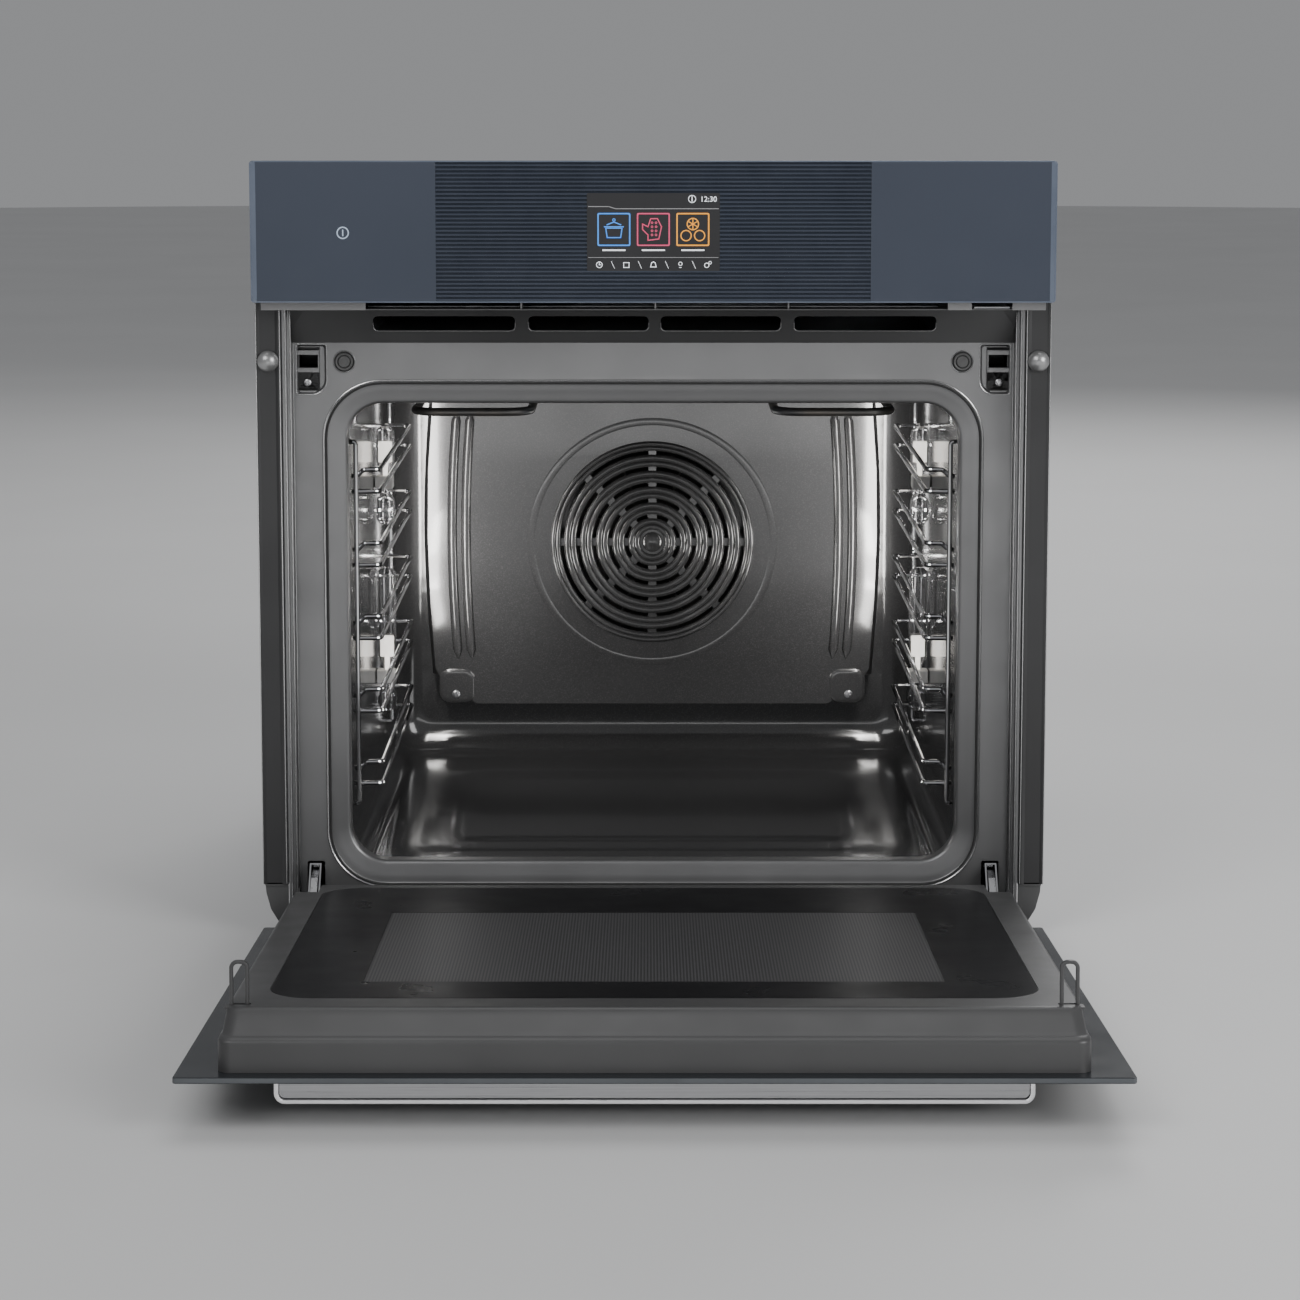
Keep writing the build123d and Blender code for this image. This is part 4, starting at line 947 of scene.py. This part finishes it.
def cover_flange():
    """The cover's long edge, which slopes back towards the wall; it is in dark steel, unlike the enamelled
    cover, as a painted shadow along the cover's side.
    """
    rows = []
    for k in range(27):
        z = 124 + 10 * k
        x = 192.6 + 6.6 * sin(pi * min(1.0, max(0.0, (z - 128) / 260)))
        section = ((-7, 0.3), (-3, 0.0), (0, 1.6), (3.5, 8), (4.0, 32))
        rows.append([Vector((x + dx, COVER_Y + dy, z)) for dx, dy in section])
    return loop_mesh(rows, closed=False)


def band_ring(inner, outer, rise):
    """A rounded raised ring between two radii on the cover."""
    middle, half = (inner + outer) / 2, (outer - inner) / 2
    turns = [pi * k / 8 for k in range(9)]
    profile = [(middle - half * cos(a), COVER_Y + 0.1 - rise * sin(a)) for a in turns]
    return revolved(profile, (0, 0, FAN_Z), steps=96)


def bead(x, z0, z1, half_width, rise):
    """A long raised bead, bowed a little outwards at mid height."""
    rows = []
    for k in range(25):
        t = k / 24
        z = z0 + (z1 - z0) * t
        bow = 5.0 * (1 - (2 * t - 1) ** 2)
        end = sqrt(max(0.0, 1 - max(0.0, abs(2 * t - 1) - 0.97) / 0.03)) if abs(2 * t - 1) > 0.97 else 1.0
        wide = half_width * max(end, 0.05)
        rows.append([Vector((x + bow - wide * cos(a), COVER_Y + 0.2 - rise * max(end, 0.05) * sin(a), z))
                     for a in (pi * j / 8 for j in range(9))])
    return loop_mesh(rows, closed=False)


# Racks and lamps
def rack(side):
    """A wire rack: five pairs of bent runners, two uprights and the hooks that hang it on the wall."""
    front, back, wall, run = 62.0, 378.0, 233.2, 211.6
    paths = []
    for level in range(5):
        low = 105 + 57.5 * level
        paths.append([(wall, front, low), (run, front, low), (run, back, low), (wall, back, low)])
        high = low + 17
        paths.append([(wall, front, high - 5), (229, front, high - 5), (224, front, high),
                      (run, front, high), (run, back, high), (wall, back, high)])
    for y in (front - 3.8, back + 3.8):
        paths.append([(234.5, y, 90), (229.5, y, 90), (229.5, y, 374), (234.5, y, 374)])
    if side < 0:
        paths = [[(-x, y, z) for x, y, z in path] for path in paths]
    return wires(paths, 1.9, 5.0)


def racks():
    for side, name in ((-1, "left"), (1, "right")):
        piece("rack_wires_" + name, rack(side), "root", "chrome", replaces=["rack_" + name])


def bottle(z, height, way):
    """A lamp glass like a bottle, its neck at z."""
    profile = [(2.6, 0), (3.2, 0.2), (3.4, 2.5), (4.6, 5), (7.0, 8.5), (8.0, 12), (8.0, height - 6)]
    profile += [(8.0 * cos(a), height - 6 + 6 * sin(a)) for a in (radians(18 * k) for k in range(1, 6))]
    profile = [(r, z + way * h) for r, h in profile]
    return joined([revolved(profile, (side * LAMPS_X, LAMPS_Y, 0), "Z", 32) for side in (-1, 1)])


def lamps():
    spans = ((319, 42, 1), (308, 31, -1), (152.5, 88, 1), (141.5, 25, -1))
    glasses = joined([bottle(*span) for span in spans])
    piece("lamp_glasses", glasses, "root", "lamp_glass", replaces=["lamp_covers"])
    blocks = []
    for z in LAMPS_Z:
        blocks.append(block((219.3, 234.6), (284.3, 299.7), (z - 5.3, z + 5.3), 1.2, 3))
    piece("lamp_sockets", mirrored(joined(blocks)), "root", "ceramic", replaces=["lamp_holders"])


# Door, drawn closed
DOOR_X = 272.5
INNER_Y = 18.5


def door_frame():
    """The pressed steel box behind the glass, with its sloping top."""
    def section(half, z0, z1, y, radius=9.0):
        return front_loop(half, z0, z1, radius, y, steps=8)
    loops = [section(270.8, 28, 470, -18.0, 8), section(DOOR_X, 26, 472, -17.9)]
    loops += [section(DOOR_X, 26, 472, y) for y in (-8.0, 0.0)]
    for k in range(6):
        t = k / 5
        turn = radians(60 * t)
        top = 472 - 5.0 * (1 - cos(turn)) * 2 - 1.0 * t
        loops.append(section(DOOR_X - 2.0 * t * t, 26, top, 1.0 + 4.2 * sin(turn)))
    for k in range(1, 6):
        t = k / 5
        loops.append(section(DOOR_X - 2.0 - 1.0 * t, 26, 466 + (450.6 - 466) * t, 4.7 + (15.9 - 4.7) * t))
    for k in range(1, 5):
        a = radians(90 * k / 4)
        draw = 1 - cos(a)
        half, y = DOOR_X - 3.0 - 3.0 * draw, 15.9 + 2.6 * sin(a)
        loops.append(section(half, 26 + 3 * draw, 450.6 - 4.6 * draw, y))
    glass = ((247.9, 39.6, 423.4, 30.4, 18.5), (247.7, 39.8, 423.2, 30.2, 18.2),
             (247.7, 39.8, 423.2, 30.2, 15.0))
    loops += [front_loop(*size, steps=8) for size in glass]
    return solid_sheet(loop_mesh(loops), 0.8)


def solid_sheet(mesh, thickness):
    """Gives a skin a thickness, inwards."""
    obj = bpy.data.objects.new("skin", mesh)
    bpy.context.scene.collection.objects.link(obj)
    solid = obj.modifiers.new("sheet", "SOLIDIFY")
    solid.thickness, solid.offset, solid.use_even_offset = thickness, -1, False
    graph = bpy.context.evaluated_depsgraph_get()
    result = bpy.data.meshes.new_from_object(obj.evaluated_get(graph))
    bpy.data.objects.remove(obj)
    return result


def door():
    shell = cut(door_frame(), door_notches())
    piece("door_box", shell, "door", "door_enamel", ["door_inner_frame"], sharp=40)
    outer_pane()
    window = rect(-189.5, 189.5, 138, 373, 1.5)
    pane = plate(rect(-247.5, 247.5, 40, 423, 30, 12), [window], 4, 0.5, INNER_Y - 4)
    piece("inner_pane", pane, "door", "black_glass", replaces=["door_inner_glass"])
    view = plate(rect(-189.4, 189.4, 138.1, 372.9, 1.5), (), 3.6, 0.05, INNER_Y - 3.75)
    piece("inner_pane_window", view, "door", "window_print")


def door_notches():
    """What the hinges and the catch loops pass through."""
    notches = []
    for side in (-1, 1):
        x = sorted((side * (HINGE_X - 8.5), side * (HINGE_X + 8.5)))
        notches.append(block(x, (-16, 20), (24, 30), 0.2))
        notches.append(block(x, (13, 20), (25, 58), 0.2))
        x = sorted((side * (CATCH_X - 7.2), side * (CATCH_X + 7.2)))
        notches.append(block(x, (13, 20), (CATCH_Z - 2.0, CATCH_Z + 2.0), 0.2))
    return notches


def outer_pane():
    """The door's front glass and its cut edge."""
    z0, z1 = 8.5, 483.0
    holes = [circle(x, 435, 2.6, 16) for x in (-229, 229)]
    outer = plate(rect(-298.5, 298.5, z0, z1, 2.5), holes, 4, 0.5, -PROUD)
    piece("door_front_glass", outer, "door", "outer_glass", replaces=["door_outer_glass"])
    outline = rect(-298.6, 298.6, z0 - 0.1, z1 + 0.1, 2.5)
    inside = rect(-297.9, 297.9, z0 + 0.6, z1 - 0.6, 2.0)
    rim = plate(outline, [inside], 3.2, 0.3, -PROUD + 0.4)
    piece("door_glass_edge", rim, "door", "cut_glass_edge")


def catch_loops():
    """Flat strips bent into hairpins that stand out of the door's inner face."""
    base, top, half = INNER_Y - 1, INNER_Y + 28, 6.2
    outline = [(CATCH_X - half, base), (CATCH_X - half, top), (CATCH_X + half, top), (CATCH_X + half, base)]
    inner = [(x + (2.4 if x < CATCH_X else -2.4), y - (2.4 if y > base else 0)) for x, y in outline]
    ring = rounded(outline, [0, 5, 5, 0], 8) + rounded(inner, [0, 3, 3, 0], 8)[::-1]
    loop = plate(ring, (), 3.0, 0.7, CATCH_Z - 1.5, turned=False)
    wide, tall = (CATCH_X - 9.3, CATCH_X + 9.3), (CATCH_Z - 4.8, CATCH_Z + 4.8)
    foot = block(wide, (base - 1.4, base - 0.1), tall, 0.3)
    hairpins = mirrored(joined([loop, foot]))
    piece("catch_hairpins", hairpins, "door", "door_enamel", replaces=["catch_loops"])


def handle():
    half, y0, y1, wall = 240.0, -PROUD - 22, -PROUD, 3.0
    outer = rounded([(-half, y1), (-half, y0), (half, y0), (half, y1)], [0, 7, 7, 0], 8)
    x, y = half - wall, y0 + wall
    inner = rounded([(-x, y1), (-x, y), (x, y), (x, y1)], [0, 4, 4, 0], 8)
    strap = plate(outer + inner[::-1], (), 22, 0.5, 424, turned=False)
    feet = mirrored(block((222, 237.2), (y1 - 8, y1), (428.2, 441.8), 0.8))
    bar = joined([strap, feet])
    piece("handle_strap", bar, "door", "polished_steel", replaces=["handle_bar"])
    x, y, y1 = 236.8, y0 + wall + 0.1, y1 - 0.1
    outline = rounded([(-x, y1), (-x, y), (x, y), (x, y1)], [0, 4, 4, 0], 6)
    web = plate(outline, (), 2.0, 0.3, 442, turned=False)
    piece("handle_panel", web, "door", "brushed_steel", replaces=["handle_web"])


# Nodes that keep their CAD shape
def keep_cad_shapes():
    finishes = {
        "zinc_steel": ("base_pan side_panels top_cover rear_cover panel_carrier air_duct blower_housing "
                       "hinge_channels temperature_probe lock_motor"),
        "dark_steel": "catch_receivers hinge_receptacles top_deck panel_frame",
        "hinge_steel": ("fixing_screws handle_screws hinge_pins hinge_rods hinge_springs door_lock_bolt "
                        "fan_shaft hinge_arms"),
        "chrome": "hinge_clip_left hinge_clip_right",
        "heater_steel": "ring_heater grill_element bottom_element fan_motor blower_motor",
        "dark_steel_fan": "convection_fan",
        "cast_aluminium": "blower_wheel",
        "clear_glass": "door_middle_panes",
        "lit_glass": "lamp_bulbs",
        "rubber": "pane_spacers",
        "black_plastic": "terminal_box cable_gland touch_display",
        "circuit_board": "circuit_boards",
        "mineral_wool": "insulation",
    }
    for paint, names in finishes.items():
        for name in names.split():
            obj = frame["nodes"][name]
            obj.data.materials.clear()
            obj.data.materials.append(PAINTS[paint])
            edges = obj.modifiers.new("soft_edges", "BEVEL")
            edges.width, edges.segments, edges.limit_method = 0.00025, 2, "ANGLE"
            edges.harden_normals = False


def hex_screw(centre, axis):
    """A flanged hexagon-head casing screw that stands out along an axis."""
    flange = [(5.0, 0.0), (5.0, 0.8), (4.2, 1.2), (3.2, 1.3)]
    hexagon = [[Vector((r * cos(pi / 3 * k), r * sin(pi / 3 * k), h)) for k in range(6)]
               for r, h in ((3.4, 1.0), (3.4, 3.4), (2.9, 3.8))]
    head = joined([revolved(flange, (0, 0, 0), "Z", 24), loop_mesh(hexagon, cap_end=True)])
    turn = Vector((0, 0, 1)).rotation_difference(Vector(axis)).to_matrix().to_4x4()
    return moved(head, Matrix.Translation(centre) @ turn)


def casing_details():
    """Screws and pressed stiffening beads on the casing's back, sides and top."""
    back, side, top = extent("rear_cover", 1)[1], extent("side_panels", 0)[1], extent("top_cover", 2)[1]
    heads = [hex_screw((x, back, z), (0, 1, 0)) for x in (-262, -90, 90, 262) for z in (12, 564)]
    heads += [hex_screw((x, back, 290), (0, 1, 0)) for x in (-262, 262)]
    piece("back_screws", joined(heads), "root", "hinge_steel")
    beads = []
    for x in (-150, 0, 150):
        beads.append(wires([[(x, back - 0.4, 60), (x, back - 0.4, 160)]], 2.4, 1))
    for z in (130, 290, 450):
        beads.append(mirrored(wires([[(side - 1.8, 90, z), (side - 1.8, 300, z)]], 2.4, 1)))
    for y in (80, 200, 320):
        beads.append(wires([[(-200, y, top - 1.8), (200, y, top - 1.8)]], 2.4, 1))
    piece("casing_beads", joined(beads), "root", "zinc_steel")


# Stage
def stage():
    ring = [Vector((14 * cos(2 * pi * k / 96), 14 * sin(2 * pi * k / 96), -0.0005)) for k in range(96)]
    bm = bmesh.new()
    bm.faces.new([bm.verts.new(p) for p in ring])
    floor = bpy.data.objects.new("floor", to_mesh(bm))
    paint = Paint("floor", (0.62, 0.62, 0.62), 0.6)
    floor.data.materials.append(paint.tint(paint.noise(2), (0.65, 0.65, 0.65)).material)
    bpy.context.scene.collection.objects.link(floor)


def area_light(name, place, target, size, power, colour=(1, 1, 1)):
    light = bpy.data.lights.new(name, "AREA")
    light.shape, light.size, light.size_y = "RECTANGLE", *size
    light.energy, light.color = power, colour
    obj = bpy.data.objects.new(name, light)
    obj.location = place
    obj.rotation_euler = (Vector(target) - Vector(place)).to_track_quat("-Z", "Y").to_euler()
    bpy.context.scene.collection.objects.link(obj)


def lights():
    world = bpy.data.worlds.new("studio")
    bpy.context.scene.world = world
    world.use_nodes = True
    world.node_tree.nodes["Background"].inputs["Color"].default_value = (0.80, 0.81, 0.83, 1)
    world.node_tree.nodes["Background"].inputs["Strength"].default_value = 0.35
    area_light("key", (-1.6, -2.6, 2.4), (0, -0.1, 0.3), (1.8, 1.4), 38)
    area_light("fill", (2.2, -2.2, 1.4), (0, 0, 0.3), (1.6, 1.6), 54)
    area_light("front", (0, -2.3, 0.12), (0, -0.7, 0.03), (1.6, 0.16), 2.4)
    area_light("top", (0, 0.2, 3.2), (0, 0, 0.3), (2.0, 2.0), 20)
    area_light("back", (0.8, 3.0, 2.0), (0, 0.2, 0.3), (1.6, 1.2), 40)
    oven_lamps()


def oven_lamps():
    """Soft light in front of and behind the lamp glasses, since the lamps are on."""
    for side in (-1, 1):
        strip, corner = FIXED @ Vector((side * 206, 310, 285)), FIXED @ Vector((side * 232, 440, 285))
        area_light("oven_lamp_strip", strip, corner, (0.02, 0.2), 0.5, (1.0, 0.98, 0.95))
        for z in (235, 170):
            place = FIXED @ Vector((side * 200, 300, z))
            aim = FIXED @ Vector((0, 330, FAN_Z - 40))
            area_light("oven_lamp", place, aim, (0.04, 0.04), 0.17, (1.0, 0.98, 0.95))


def camera():
    data = bpy.data.cameras.new("camera")
    data.sensor_width, data.lens = 36.0, 88.1
    data.shift_x, data.shift_y = 0.0025, -0.139
    obj = bpy.data.objects.new("camera", data)
    bpy.context.scene.collection.objects.link(obj)
    obj.location = (-0.0049, FRONT - 2.379, 0.652)
    obj.rotation_euler = (radians(90 - 7), 0, 0)
    bpy.context.scene.camera = obj


for build in (control_panel, display, front_frame, rolled_edge_highlights, buffers, seal, receivers, screws, trims,
              vents, cavity, fan_cover, racks, lamps, door, catch_loops, handle, keep_cad_shapes,
              casing_details, stage, lights, camera):
    build()
